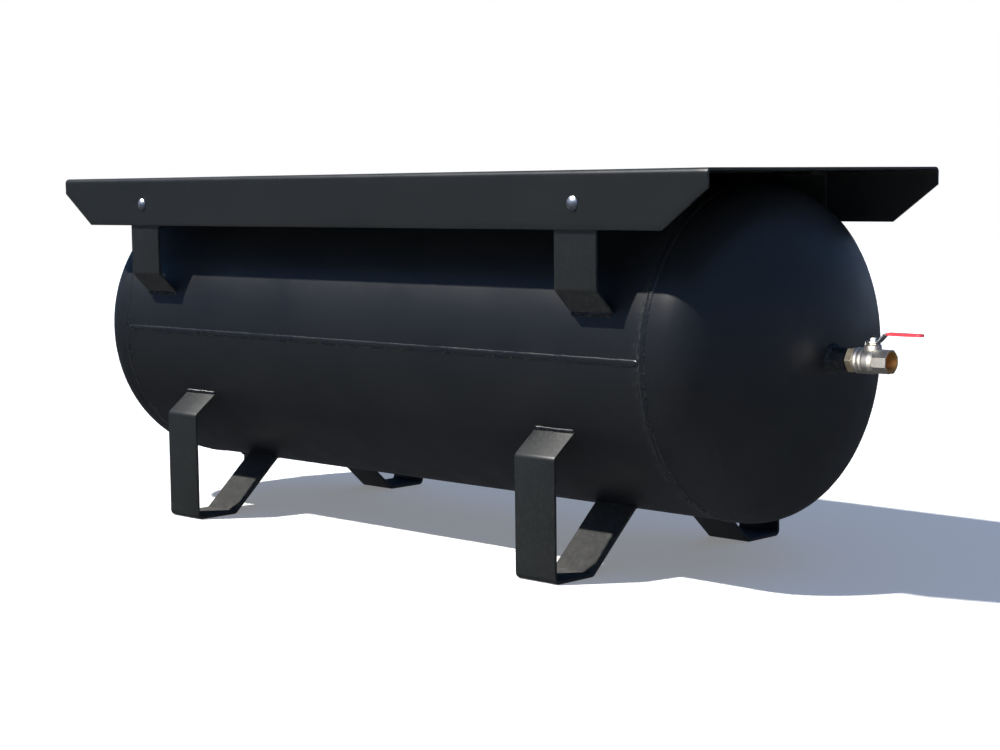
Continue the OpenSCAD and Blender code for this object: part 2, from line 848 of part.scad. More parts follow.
// Slab around the straight arm from x0 to the round tip, grown sideways, between z0 and z1
module grip_slab(x0, grow, z0, z1) {
    half = lever_w / 2;
    translate([0, 0, z0]) linear_extrude(z1 - z0) {
        translate([x0, -half - grow]) square([lever_reach - half - x0, 2 * (half + grow)]);
        translate([lever_reach - half, 0]) circle(half + grow);
    }
}

shell();
left_head();
right_head();
left_girth_weld();
right_girth_weld();
seam_weld();
deck();
front_left_foot();
front_right_foot();
rear_left_foot();
rear_right_foot();
foot_welds();
front_left_bracket();
front_right_bracket();
rear_left_bracket();
rear_right_bracket();
bracket_welds();
deck_bolts();
deck_washers();
deck_nuts();
outlet_socket();
outlet_socket_weld();
outlet_nipple();
inlet_socket();
inlet_socket_weld();
drain_socket();
drain_socket_weld();
drain_plug();
valve_body();
valve_end_piece();
inlet_seat();
outlet_seat();
stem_packing();
gland_nut();
ball();
stem();
stem_washer();
lever();
lever_nut();
lever_grip();
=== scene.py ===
import bmesh
import bpy
import math
from mathutils import Matrix, Vector, noise


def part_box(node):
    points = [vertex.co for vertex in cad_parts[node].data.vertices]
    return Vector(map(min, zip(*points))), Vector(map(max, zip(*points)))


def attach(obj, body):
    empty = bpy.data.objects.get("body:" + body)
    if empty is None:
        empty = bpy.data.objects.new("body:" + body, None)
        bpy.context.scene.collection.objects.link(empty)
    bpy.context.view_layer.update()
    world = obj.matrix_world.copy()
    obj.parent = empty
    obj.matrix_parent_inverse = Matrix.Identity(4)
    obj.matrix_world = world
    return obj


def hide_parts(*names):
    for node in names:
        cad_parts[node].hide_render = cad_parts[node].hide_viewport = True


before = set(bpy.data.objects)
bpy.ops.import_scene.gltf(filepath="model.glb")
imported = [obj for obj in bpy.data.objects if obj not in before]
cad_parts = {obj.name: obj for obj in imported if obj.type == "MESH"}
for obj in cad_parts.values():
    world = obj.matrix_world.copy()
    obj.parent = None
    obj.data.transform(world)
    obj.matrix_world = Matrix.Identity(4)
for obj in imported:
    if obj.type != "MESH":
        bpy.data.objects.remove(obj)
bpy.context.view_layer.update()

mm = 0.001
mergeDistance = 0.004 * mm


# Node helpers, for geometry and for materials alike

def feed(tree, socket, value):
    if isinstance(value, bpy.types.NodeSocket):
        tree.links.new(value, socket)
    else:
        socket.default_value = value


def addNode(tree, kind, feeds=None, **settings):
    node = tree.nodes.new(kind)
    for key, value in settings.items():
        setattr(node, key, value)
    for key, value in (feeds or {}).items():
        feed(tree, node.inputs[key], value)
    return node


def calc(tree, operation, *values):
    node = addNode(tree, "ShaderNodeMath", operation=operation)
    for socket, value in zip(node.inputs, values):
        feed(tree, socket, value)
    return node.outputs[0]


def vectorCalc(tree, operation, first, second=None):
    node = addNode(tree, "ShaderNodeVectorMath", {0: first}, operation=operation)
    if second is not None:
        feed(tree, node.inputs["Scale" if operation == "SCALE" else 1], second)
    return node.outputs[0]


def startTree(name, sizes):
    tree = bpy.data.node_groups.new(name, "GeometryNodeTree")
    tree.interface.new_socket("Geometry", in_out="INPUT", socket_type="NodeSocketGeometry")
    for label, value in sizes.items():
        kind = "NodeSocketInt" if isinstance(value, int) else "NodeSocketFloat"
        tree.interface.new_socket(label, in_out="INPUT", socket_type=kind).default_value = value
    tree.interface.new_socket("Material", in_out="INPUT", socket_type="NodeSocketMaterial")
    tree.interface.new_socket("Geometry", in_out="OUTPUT", socket_type="NodeSocketGeometry")
    return tree, tree.nodes.new("NodeGroupInput").outputs


def endTree(tree, given, geometry):
    whole = addNode(tree, "GeometryNodeRealizeInstances", {"Geometry": geometry}).outputs[0]
    feeds = {"Geometry": whole, "Material": given["Material"]}
    painted = addNode(tree, "GeometryNodeSetMaterial", feeds).outputs[0]
    tree.links.new(painted, tree.nodes.new("NodeGroupOutput").inputs[0])
    return tree


# Row and column of each point of a grid that is rows long and ring + 1 points around
def gridRowColumn(tree, rows, ring):
    around = calc(tree, "ADD", ring, 1)
    feeds = {"Size X": 1.0, "Size Y": 1.0, "Vertices X": rows, "Vertices Y": around}
    grid = addNode(tree, "GeometryNodeMeshGrid", feeds).outputs["Mesh"]
    index = addNode(tree, "GeometryNodeInputIndex").outputs[0]
    row = calc(tree, "FLOOR", calc(tree, "DIVIDE", calc(tree, "ADD", index, 0.5), around))
    column = calc(tree, "SUBTRACT", index, calc(tree, "MULTIPLY", row, around))
    return grid, row, column


# Turns a profile (x along the axis, y the radius) round the X axis; flats cut it to a prism
def makeTurnedTree():
    sizes = {"Columns": 96, "Flats": 6, "Across Flats": 50.0, "Waviness": 0.0, "Wave Scale": 4.0}
    tree, given = startTree("turned part", sizes)
    rows = addNode(tree, "GeometryNodeAttributeDomainSize", {"Geometry": given["Geometry"]}).outputs[0]
    grid, row, column = gridRowColumn(tree, rows, given["Columns"])
    place = addNode(tree, "GeometryNodeInputPosition").outputs[0]
    feeds = {"Geometry": given["Geometry"], "Value": place, "Index": row}
    sampled = addNode(tree, "GeometryNodeSampleIndex", data_type="FLOAT_VECTOR")
    for key, value in feeds.items():
        feed(tree, sampled.inputs[key], value)
    parts = addNode(tree, "ShaderNodeSeparateXYZ", {0: sampled.outputs[0]}).outputs
    angle = calc(tree, "MULTIPLY", calc(tree, "DIVIDE", column, given["Columns"]), math.tau)
    sector = calc(tree, "DIVIDE", math.tau, given["Flats"])
    inside = calc(tree, "SUBTRACT", calc(tree, "MODULO", angle, sector), calc(tree, "MULTIPLY", sector, 0.5))
    halfAcross = calc(tree, "MULTIPLY", given["Across Flats"], 0.5)
    flat = calc(tree, "DIVIDE", halfAcross, calc(tree, "COSINE", inside))
    radius = calc(tree, "MINIMUM", parts[1], flat)
    across = calc(tree, "MULTIPLY", radius, calc(tree, "COSINE", angle))
    upward = calc(tree, "MULTIPLY", radius, calc(tree, "SINE", angle))
    spot = addNode(tree, "ShaderNodeCombineXYZ", {0: parts[0], 1: across, 2: upward}).outputs[0]
    shaped = addNode(tree, "GeometryNodeSetPosition", {"Geometry": grid, "Position": spot}).outputs[0]
    feeds = {"Vector": spot, "Scale": given["Wave Scale"], "Detail": 1.0}
    waves = addNode(tree, "ShaderNodeTexNoise", feeds).outputs[0]
    push = calc(tree, "MULTIPLY", calc(tree, "SUBTRACT", waves, 0.5), given["Waviness"])
    normal = addNode(tree, "GeometryNodeInputNormal").outputs[0]
    feeds = {"Geometry": shaped, "Offset": vectorCalc(tree, "SCALE", normal, push)}
    waved = addNode(tree, "GeometryNodeSetPosition", feeds).outputs[0]
    feeds = {"Geometry": waved, "Distance": mergeDistance}
    closed = addNode(tree, "GeometryNodeMergeByDistance", feeds).outputs[0]
    return endTree(tree, given, closed)


# Weld bead along a guide line, whose points carry the way that the bead stands out
def makeWeldTree():
    sizes = {"Width": 0.011, "Height": 0.0016, "Sink": 0.001, "Ripple Pitch": 0.003, "Ripple": 0.3,
             "Wander": 0.2, "Taper": 0.006, "Step": 0.0006, "Around": 12, "Seed": 1.0}
    tree, given = startTree("weld bead", sizes)
    line = addNode(tree, "GeometryNodeMeshToCurve", {"Mesh": given["Geometry"]}).outputs[0]
    length = addNode(tree, "GeometryNodeCurveLength", {"Curve": line}).outputs[0]
    steps = calc(tree, "CEIL", calc(tree, "DIVIDE", length, given["Step"]))
    grid, row, column = gridRowColumn(tree, calc(tree, "ADD", steps, 1), given["Around"])
    along = calc(tree, "MULTIPLY", calc(tree, "DIVIDE", row, steps), length)
    turn = calc(tree, "MULTIPLY", calc(tree, "DIVIDE", column, given["Around"]), math.tau)
    side = calc(tree, "COSINE", turn)
    rise = calc(tree, "SINE", turn)
    named = addNode(tree, "GeometryNodeInputNamedAttribute", {"Name": "outward"}, data_type="FLOAT_VECTOR")
    sampled = addNode(tree, "GeometryNodeSampleCurve", mode="LENGTH", data_type="FLOAT_VECTOR")
    for key, value in {"Curves": line, "Value": named.outputs[0], "Length": along}.items():
        feed(tree, sampled.inputs[key], value)
    outward = vectorCalc(tree, "NORMALIZE", sampled.outputs["Value"])
    across = vectorCalc(tree, "CROSS_PRODUCT", sampled.outputs["Tangent"], outward)
    across = vectorCalc(tree, "NORMALIZE", across)

    # Slow change along the bead; each use has its own scale and offset
    def drift(scale, offset):
        start = calc(tree, "ADD", given["Seed"], offset)
        seeded = calc(tree, "ADD", calc(tree, "MULTIPLY", along, scale), start)
        feeds = {"W": seeded, "Scale": 1.0, "Detail": 2.0}
        wave = addNode(tree, "ShaderNodeTexNoise", feeds, noise_dimensions="1D").outputs[0]
        return calc(tree, "MULTIPLY", calc(tree, "SUBTRACT", wave, 0.5), given["Wander"])

    nearEnd = calc(tree, "MINIMUM", along, calc(tree, "SUBTRACT", length, along))
    share = calc(tree, "MINIMUM", calc(tree, "DIVIDE", nearEnd, given["Taper"]), 1.0)
    left = calc(tree, "SUBTRACT", 1.0, share)
    taper = calc(tree, "SQRT", calc(tree, "SUBTRACT", 1.0, calc(tree, "MULTIPLY", left, left)))
    crescent = calc(tree, "MULTIPLY", calc(tree, "MULTIPLY", side, side), 0.9)
    uneven = calc(tree, "MULTIPLY", drift(90.0, 31.0), 3.0)
    count = calc(tree, "DIVIDE", along, given["Ripple Pitch"])
    phase = calc(tree, "ADD", count, calc(tree, "ADD", crescent, uneven))
    saw = calc(tree, "SUBTRACT", calc(tree, "FRACT", phase), 0.5)
    ripple = calc(tree, "ADD", 1.0, calc(tree, "MULTIPLY", saw, given["Ripple"]))
    crown = calc(tree, "MULTIPLY", calc(tree, "MAXIMUM", rise, 0.0), given["Height"])
    lumpy = calc(tree, "MULTIPLY", crown, calc(tree, "ADD", ripple, drift(55.0, 7.0)))
    root = calc(tree, "MULTIPLY", calc(tree, "MINIMUM", rise, 0.0), given["Sink"])
    height = calc(tree, "MULTIPLY", calc(tree, "ADD", lumpy, root), taper)
    swell = calc(tree, "ADD", 1.0, drift(40.0, 3.0))
    half = calc(tree, "MULTIPLY", given["Width"], calc(tree, "MULTIPLY", swell, 0.5))
    width = calc(tree, "MULTIPLY", calc(tree, "MULTIPLY", side, half), taper)
    sway = calc(tree, "MULTIPLY", drift(25.0, 17.0), calc(tree, "MULTIPLY", given["Width"], 0.35))
    reach = vectorCalc(tree, "SCALE", across, calc(tree, "ADD", width, sway))
    spot = vectorCalc(tree, "ADD", sampled.outputs["Position"], reach)
    spot = vectorCalc(tree, "ADD", spot, vectorCalc(tree, "SCALE", outward, height))
    shaped = addNode(tree, "GeometryNodeSetPosition", {"Geometry": grid, "Position": spot}).outputs[0]
    feeds = {"Geometry": shaped, "Distance": mergeDistance}
    return endTree(tree, given, addNode(tree, "GeometryNodeMergeByDistance", feeds).outputs[0])


# Flat bar with rounded edges that follows a bent path
def makeBarTree():
    tree, given = startTree("bent flat bar", {"Width": 0.08, "Thickness": 0.005, "Edge Radius": 0.001})
    path = addNode(tree, "GeometryNodeMeshToCurve", {"Mesh": given["Geometry"]}).outputs[0]
    feeds = {"Width": given["Width"], "Height": given["Thickness"]}
    section = addNode(tree, "GeometryNodeCurvePrimitiveQuadrilateral", feeds).outputs[0]
    rounded = addNode(tree, "GeometryNodeFilletCurve", mode="POLY")
    for key, value in {"Curve": section, "Count": 3, "Radius": given["Edge Radius"]}.items():
        feed(tree, rounded.inputs[key], value)
    feeds = {"Curve": path, "Profile Curve": rounded.outputs[0], "Fill Caps": True}
    return endTree(tree, given, addNode(tree, "GeometryNodeCurveToMesh", feeds).outputs[0])


# Copies one fastener to every point; each point carries its turn as Euler angles
def makeFastenerTree():
    tree, given = startTree("fasteners at their holes", {})
    socket = tree.interface.new_socket("Fastener", in_out="INPUT", socket_type="NodeSocketObject")
    chosen = tree.nodes["Group Input"].outputs[socket.name]
    master = addNode(tree, "GeometryNodeObjectInfo", {"Object": chosen})
    turn = addNode(tree, "GeometryNodeInputNamedAttribute", {"Name": "turn"}, data_type="FLOAT_VECTOR")
    feeds = {"Points": given["Geometry"], "Instance": master.outputs["Geometry"], "Rotation": turn.outputs[0]}
    return endTree(tree, given, addNode(tree, "GeometryNodeInstanceOnPoints", feeds).outputs[0])


turnedTree = makeTurnedTree()
weldTree = makeWeldTree()
barTree = makeBarTree()
fastenerTree = makeFastenerTree()
print("node trees ready")


# Mesh helpers

def newPiece(name, points, edges=(), faces=()):
    mesh = bpy.data.meshes.new(name)
    mesh.from_pydata([tuple(p) for p in points], edges, faces)
    piece = bpy.data.objects.new(name, mesh)
    bpy.context.scene.collection.objects.link(piece)
    return piece


def bakeModifiers(piece, material):
    bpy.context.view_layer.update()
    shown = piece.evaluated_get(bpy.context.evaluated_depsgraph_get())
    mesh = bpy.data.meshes.new_from_object(shown)
    raw = piece.data
    piece.modifiers.clear()
    piece.data = mesh
    bpy.data.meshes.remove(raw)
    mesh.name = piece.name
    mesh.materials.clear()
    mesh.materials.append(material)
    return piece


def runTree(piece, tree, material, sizes):
    modifier = piece.modifiers.new(tree.name, "NODES")
    modifier.node_group = tree
    values = dict(sizes, Material=material)
    for item in tree.interface.items_tree:
        if item.in_out == "INPUT" and item.name in values:
            modifier[item.identifier] = values[item.name]
    return bakeModifiers(piece, material)


def chain(count):
    return [(i, i + 1) for i in range(count - 1)]


# Rounds the corners (x, y, radius) of a line; a radius of 0 keeps a corner sharp
def roundCorners(corners, steps=4, closed=False):
    points = []
    for i, (x, y, radius) in enumerate(corners):
        here = Vector((x, y))
        before = Vector(corners[i - 1][:2]) - here
        after = Vector(corners[(i + 1) % len(corners)][:2]) - here
        atEnd = not closed and i in (0, len(corners) - 1)
        opening = 0 if atEnd else before.angle(after)
        if atEnd or radius == 0 or opening > 3.12:
            points.append((x, y))
            continue
        reach = min(radius / math.tan(opening / 2), 0.49 * min(before.length, after.length))
        bend = reach * math.tan(opening / 2)
        middle = here + (before.normalized() + after.normalized()).normalized() * bend / math.sin(opening / 2)
        start = here + before.normalized() * reach - middle
        finish = here + after.normalized() * reach - middle
        first = math.atan2(start.y, start.x)
        swing = (math.atan2(finish.y, finish.x) - first + math.pi) % math.tau - math.pi
        for k in range(steps + 1):
            angle = first + swing * k / steps
            points.append((middle.x + bend * math.cos(angle), middle.y + bend * math.sin(angle)))
    return points + points[:1] if closed else points


def arcPoints(x, y, radius, first, last, steps):
    angles = [first + (last - first) * k / steps for k in range(steps + 1)]
    return [(x + radius * math.cos(a), y + radius * math.sin(a)) for a in angles]


def turned(name, profile, material, place=None, columns=96, flats=6, acrossFlats=50.0, waviness=0.0):
    piece = newPiece(name, [(x, r, 0) for x, r in profile], chain(len(profile)))
    sizes = {"Columns": columns, "Flats": flats, "Across Flats": acrossFlats, "Waviness": waviness}
    runTree(piece, turnedTree, material, sizes)
    if place is not None:
        piece.data.transform(place)
    return piece


def bead(name, points, outwards, material, look):
    piece = newPiece(name, points, chain(len(points)))
    attribute = piece.data.attributes.new("outward", "FLOAT_VECTOR", "POINT")
    attribute.data.foreach_set("vector", [c for way in outwards for c in way])
    return runTree(piece, weldTree, material, look)


def joined(name, pieces):
    work = bmesh.new()
    for piece in pieces:
        work.from_mesh(piece.data)
    whole = newPiece(name, [])
    work.to_mesh(whole.data)
    work.free()
    whole.data.materials.append(pieces[0].data.materials[0])
    for piece in pieces:
        bpy.data.objects.remove(piece)
    return whole


def finishPiece(piece, body, nodes, sharp=38):
    work = bmesh.new()
    work.from_mesh(piece.data)
    bmesh.ops.remove_doubles(work, verts=work.verts, dist=mergeDistance / 2)
    loose = [v for v in work.verts if not v.link_faces]
    bmesh.ops.delete(work, geom=loose, context="VERTS")
    bmesh.ops.recalc_face_normals(work, faces=work.faces)
    work.to_mesh(piece.data)
    work.free()
    piece.data.shade_smooth()
    piece.data.set_sharp_from_angle(angle=math.radians(sharp))
    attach(piece, body)
    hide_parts(*nodes)
    return piece


# Materials

def startMaterial(name, look):
    material = bpy.data.materials.new(name)
    material.use_nodes = True
    shader = material.node_tree.nodes["Principled BSDF"]
    for key, value in look.items():
        shader.inputs[key].default_value = value
    coords = material.node_tree.nodes.new("ShaderNodeTexCoord").outputs["Object"]
    return material, material.node_tree, shader, coords


def splitAxes(tree, vector):
    return addNode(tree, "ShaderNodeSeparateXYZ", {0: vector}).outputs


# Where a value lies between low and high, from 0 to 1
def rangeShare(tree, value, low, high):
    feeds = {"Value": value, "From Min": low, "From Max": high}
    return addNode(tree, "ShaderNodeMapRange", feeds).outputs[0]


# Cloudy noise, cut to the range between low and high
def patches(tree, coords, scale, low=0.35, high=0.65, detail=4.0, rough=0.55):
    feeds = {"Vector": coords, "Scale": scale, "Detail": detail, "Roughness": rough}
    return rangeShare(tree, addNode(tree, "ShaderNodeTexNoise", feeds).outputs[0], low, high)


def blendColour(tree, share, first, second):
    node = addNode(tree, "ShaderNodeMix", data_type="RGBA")
    for index, value in ((0, share), (6, first), (7, second)):
        feed(tree, node.inputs[index], value)
    return node.outputs[2]


def between(tree, share, low, high):
    return calc(tree, "ADD", low, calc(tree, "MULTIPLY", share, high - low))


def roughen(tree, shader, reliefs):
    normal = None
    for height, depth in reliefs:
        bump = addNode(tree, "ShaderNodeBump", {"Height": height, "Distance": depth, "Strength": 1.0})
        if normal is not None:
            tree.links.new(normal, bump.inputs["Normal"])
        normal = bump.outputs[0]
    tree.links.new(normal, shader.inputs["Normal"])


# Share of a surface that is an outer edge, from how far its points stick out
def edgeShare(tree):
    sharpness = addNode(tree, "ShaderNodeNewGeometry").outputs["Pointiness"]
    return rangeShare(tree, sharpness, 0.52, 0.6)


# Satin paint: cloudy colour, dust on what faces up (most near the floor), worn edges, orange peel
def makePaint(name, look):
    material, tree, shader, coords = startMaterial(name, {"IOR": 1.5, "Specular IOR Level": look["gloss"]})
    cloudy = patches(tree, coords, look["cloudScale"], 0.3, 0.7)
    mottled = patches(tree, coords, look["mottleScale"], 0.35, 0.7, detail=6.0)
    colour = blendColour(tree, cloudy, look["dark"], look["light"])
    normal = addNode(tree, "ShaderNodeNewGeometry").outputs["Normal"]
    facingUp = rangeShare(tree, splitAxes(tree, normal)[2], 0.2, 1.0)
    nearGround = rangeShare(tree, splitAxes(tree, coords)[2], look["dustHeight"], 0.0)
    dust = calc(tree, "MULTIPLY", facingUp, between(tree, mottled, 0.5, 1.0))
    dust = calc(tree, "MULTIPLY", dust, between(tree, nearGround, 1.0, look["groundDust"]))
    dusty = blendColour(tree, calc(tree, "MULTIPLY", dust, look["dust"]), colour, look["dustColour"])
    scuffs = patches(tree, coords, look["scuffScale"], 0.48, 0.62, detail=5.0)
    rubbed = calc(tree, "MULTIPLY", calc(tree, "MULTIPLY", edgeShare(tree), scuffs), look["wear"])
    tree.links.new(blendColour(tree, rubbed, dusty, look["wornColour"]), shader.inputs["Base Color"])
    handled = patches(tree, coords, look["handledScale"], 0.3, 0.7, rough=0.5)
    smooth = between(tree, handled, look["roughLow"], look["roughHigh"])
    rough = calc(tree, "ADD", smooth, calc(tree, "MULTIPLY", dust, look["dustRough"]))
    tree.links.new(rough, shader.inputs["Roughness"])
    peel = patches(tree, coords, look["peelScale"], 0.2, 0.8, detail=1.0)
    grit = patches(tree, coords, look["gritScale"], 0.62, 0.8, detail=1.0)
    sway = patches(tree, coords, look["swayScale"], 0.0, 1.0, detail=0.0)
    roughen(tree, shader, [(sway, look["sway"]), (peel, look["peel"]), (grit, look["grit"])])
    return material


# Metal with tone patches, stains and a painted highlight on its edges; a mouth that was cut after plating
# shows bare metal
def makeMetal(name, look):
    material, tree, shader, coords = startMaterial(name, {"Metallic": 1.0})
    tone = patches(tree, coords, look["toneScale"], 0.35, 0.65)
    stain = patches(tree, coords, look["toneScale"] * 4, 0.5, 0.75, detail=6.0)
    colour = blendColour(tree, tone, look["light"], look["dark"])
    colour = blendColour(tree, calc(tree, "MULTIPLY", stain, look["staining"]), colour, look["stain"])
    # Painted highlight: every edge that sticks out is lightened halfway towards the look's edge colour
    paintedEdgeHighlight = calc(tree, "MULTIPLY", edgeShare(tree), 0.5)
    colour = blendColour(tree, paintedEdgeHighlight, colour, look["edge"])
    if "mouthRadius" in look:
        x, y, z = splitAxes(tree, coords)
        z = calc(tree, "SUBTRACT", z, look["mouthAxis"])
        squares = calc(tree, "ADD", calc(tree, "MULTIPLY", y, y), calc(tree, "MULTIPLY", z, z))
        inside = calc(tree, "LESS_THAN", calc(tree, "SQRT", squares), look["mouthRadius"])
        cut = calc(tree, "MAXIMUM", inside, calc(tree, "GREATER_THAN", x, look["mouthFace"]))
        colour = blendColour(tree, cut, colour, blendColour(tree, tone, look["bare"], look["bareDark"]))
    tree.links.new(colour, shader.inputs["Base Color"])
    smear = patches(tree, coords, look["toneScale"] * 2.5, 0.3, 0.7, detail=6.0)
    tree.links.new(between(tree, smear, look["roughLow"], look["roughHigh"]), shader.inputs["Roughness"])
    fine = patches(tree, coords, look["grain"], 0.3, 0.7, detail=3.0)
    roughen(tree, shader, [(fine, look["relief"])])
    return material


def makePlastic(name, look):
    constants = {"IOR": 1.47, "Coat Weight": look["coat"], "Coat Roughness": 0.25}
    material, tree, shader, coords = startMaterial(name, constants)
    tone = patches(tree, coords, 160.0, 0.3, 0.7)
    colour = blendColour(tree, tone, look["light"], look["dark"])
    dirty = calc(tree, "MULTIPLY", patches(tree, coords, 500.0, 0.52, 0.7, detail=6.0), look["dirt"])
    tree.links.new(blendColour(tree, dirty, colour, look["grime"]), shader.inputs["Base Color"])
    smear = patches(tree, coords, 300.0, 0.3, 0.7)
    tree.links.new(between(tree, smear, look["roughLow"], look["roughHigh"]), shader.inputs["Roughness"])
    roughen(tree, shader, [(patches(tree, coords, 1800.0, 0.3, 0.7), 0.03 * mm)])
    return material


paintLook = {
    "dark": (0.0080, 0.0096, 0.0116, 1), "light": (0.0108, 0.0122, 0.0140, 1),
    "dust": 0.06, "dustColour": (0.095, 0.093, 0.088, 1), "wear": 0.45, "wornColour": (0.09, 0.09, 0.09, 1),
    "gloss": 0.5, "roughLow": 0.32, "roughHigh": 0.40, "dustRough": 0.12,
    "dustHeight": 100 * mm, "groundDust": 18.0,
    "cloudScale": 5.0, "mottleScale": 60.0, "scuffScale": 220.0, "handledScale": 14.0,
    "swayScale": 7.0, "sway": 1.2 * mm, "peelScale": 420.0, "peel": 0.05 * mm,
    "gritScale": 1500.0, "grit": 0.03 * mm,
}
tankPaint = makePaint("tank paint", paintLook)
framePaint = makePaint("frame paint", dict(
    paintLook, dark=(0.0124, 0.0142, 0.0142, 1), light=(0.0150, 0.0170, 0.0168, 1),
    roughLow=0.33, roughHigh=0.41, sway=0.4 * mm))
beadPaint = makePaint("paint over weld", dict(
    paintLook, wear=0.8, roughLow=0.2, roughHigh=0.34, sway=0.1 * mm))
# In each metal look below, the edge colour is a painted highlight laid on the metal's edges
zincPlate = makeMetal("zinc plate", {
    "light": (0.80, 0.82, 0.84, 1), "dark": (0.60, 0.62, 0.66, 1), "stain": (0.42, 0.40, 0.34, 1),
    "edge": (0.92, 0.93, 0.95, 1), "staining": 0.35, "toneScale": 120.0, "grain": 2500.0, "relief": 0.02 * mm,
    "roughLow": 0.30, "roughHigh": 0.45,
})
ballLow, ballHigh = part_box("ball")
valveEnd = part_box("valve_body")[1].x
nickelPlate = makeMetal("nickel plate", {
    "light": (0.78, 0.75, 0.70, 1), "dark": (0.66, 0.62, 0.55, 1), "stain": (0.42, 0.36, 0.28, 1),
    "edge": (0.90, 0.88, 0.84, 1), "staining": 0.3, "toneScale": 70.0, "grain": 1800.0, "relief": 0.03 * mm,
    "roughLow": 0.40, "roughHigh": 0.54, "mouthAxis": (ballLow.z + ballHigh.z) / 2,
    "mouthRadius": 13.6 * mm, "mouthFace": valveEnd - 0.35 * mm,
    "bare": (0.82, 0.52, 0.20, 1), "bareDark": (0.60, 0.33, 0.10, 1),
})
platedBrass = makeMetal("plated brass", {
    "light": (0.74, 0.66, 0.50, 1), "dark": (0.62, 0.53, 0.36, 1), "stain": (0.36, 0.27, 0.14, 1),
    "edge": (0.88, 0.82, 0.70, 1), "staining": 0.35, "toneScale": 80.0, "grain": 1800.0, "relief": 0.03 * mm,
    "roughLow": 0.42, "roughHigh": 0.56,
})
bareBrass = makeMetal("bare brass", {
    "light": (0.78, 0.53, 0.22, 1), "dark": (0.60, 0.36, 0.12, 1), "stain": (0.26, 0.13, 0.05, 1),
    "edge": (0.90, 0.70, 0.38, 1), "staining": 0.5, "toneScale": 90.0, "grain": 2200.0, "relief": 0.03 * mm,
    "roughLow": 0.24, "roughHigh": 0.42,
})
darkSteel = makeMetal("dark steel", {
    "light": (0.10, 0.10, 0.11, 1), "dark": (0.05, 0.05, 0.055, 1), "stain": (0.13, 0.07, 0.04, 1),
    "edge": (0.30, 0.30, 0.31, 1), "staining": 0.4, "toneScale": 90.0, "grain": 1600.0, "relief": 0.05 * mm,
    "roughLow": 0.35, "roughHigh": 0.55,
})
leverSteel = makeMetal("plated lever steel", {
    "light": (0.66, 0.67, 0.69, 1), "dark": (0.48, 0.49, 0.52, 1), "stain": (0.30, 0.27, 0.22, 1),
    "edge": (0.84, 0.85, 0.87, 1), "staining": 0.4, "toneScale": 100.0, "grain": 2200.0, "relief": 0.03 * mm,
    "roughLow": 0.24, "roughHigh": 0.42,
})
ballChrome = makeMetal("ball chrome", {
    "light": (0.86, 0.87, 0.89, 1), "dark": (0.78, 0.79, 0.82, 1), "stain": (0.55, 0.55, 0.55, 1),
    "edge": (0.92, 0.92, 0.94, 1), "staining": 0.15, "toneScale": 60.0, "grain": 3000.0, "relief": 0.005 * mm,
    "roughLow": 0.06, "roughHigh": 0.14,
})
redVinyl = makePlastic("red vinyl", {
    "light": (0.56, 0.035, 0.050, 1), "dark": (0.42, 0.020, 0.032, 1), "grime": (0.12, 0.030, 0.030, 1),
    "dirt": 0.45, "coat": 0.25, "roughLow": 0.34, "roughHigh": 0.52,
})
sealWhite = makePlastic("seal white", {
    "light": (0.80, 0.80, 0.77, 1), "dark": (0.70, 0.70, 0.66, 1), "grime": (0.42, 0.40, 0.34, 1),
    "dirt": 0.2, "coat": 0.0, "roughLow": 0.38, "roughHigh": 0.55,
})
print("materials ready")


# Vessel: a rolled shell between two dished ends

vessel = {
    "wall": 5 * mm, "skirt": 18 * mm, "crownShare": 0.8, "knuckleShare": 0.154,
    "socketHole": 16.8 * mm, "waviness": 0.5 * mm, "columns": 192, "rows": 64,
    "outerSteps": 14, "innerSteps": 6,
}
shellLow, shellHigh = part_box("shell")
vesselRadius = (shellHigh.z - shellLow.z) / 2
axisHeight = (shellHigh.z + shellLow.z) / 2
vesselX = (shellHigh.x + shellLow.x) / 2
crownRadius = vessel["crownShare"] * 2 * vesselRadius
knuckleRadius = vessel["knuckleShare"] * 2 * vesselRadius
crownDrop = math.sqrt((crownRadius - knuckleRadius) ** 2 - (vesselRadius - knuckleRadius) ** 2)
knuckleAngle = math.atan2(vesselRadius - knuckleRadius, crownDrop)
headStart = shellHigh.x - vesselX
apexX = headStart + vessel["skirt"] + crownRadius - crownDrop
onAxis = Matrix.Translation((vesselX, 0, axisHeight))
flipped = onAxis @ Matrix.Rotation(math.pi, 4, "Z")


# Outline of a dished head, from its skirt to the socket's hole, moved in by inset
def headFace(inset, steps):
    curveX = headStart + vessel["skirt"]
    knuckleY = vesselRadius - knuckleRadius
    skirt = [(headStart, vesselRadius - inset), (headStart + vessel["skirt"] / 2, vesselRadius - inset)]
    knuckle = arcPoints(curveX, knuckleY, knuckleRadius - inset, math.pi / 2, knuckleAngle, steps)
    hole = math.asin(vessel["socketHole"] / (crownRadius - inset))
    crown = arcPoints(curveX - crownDrop, 0, crownRadius - inset, knuckleAngle, hole, 2 * steps)
    return skirt + knuckle + crown[1:]


def makeVessel():
    rows = vessel["rows"]
    outer = [(-headStart + 2 * headStart * k / rows, vesselRadius) for k in range(rows + 1)]
    inner = [(x, vesselRadius - vessel["wall"]) for x, r in reversed(outer[::8])]
    sizes = {"columns": vessel["columns"], "waviness": vessel["waviness"]}
    shell = turned("rolledShell", outer + inner + outer[:1], tankPaint, onAxis, **sizes)
    finishPiece(shell, "receiver", ["shell"], sharp=60)
    outer = headFace(0, vessel["outerSteps"])
    inner = headFace(vessel["wall"], vessel["innerSteps"])
    profile = outer + inner[::-1] + outer[:1]
    for name, place, node in (("rightHead", onAxis, "right_head"), ("leftHead", flipped, "left_head")):
        head = turned(name, profile, tankPaint, place, **sizes)
        finishPiece(head, "receiver", [node], sharp=60)


makeVessel()
print("vessel made")


# Seam beads: one round each joint of shell and head, one along the shell

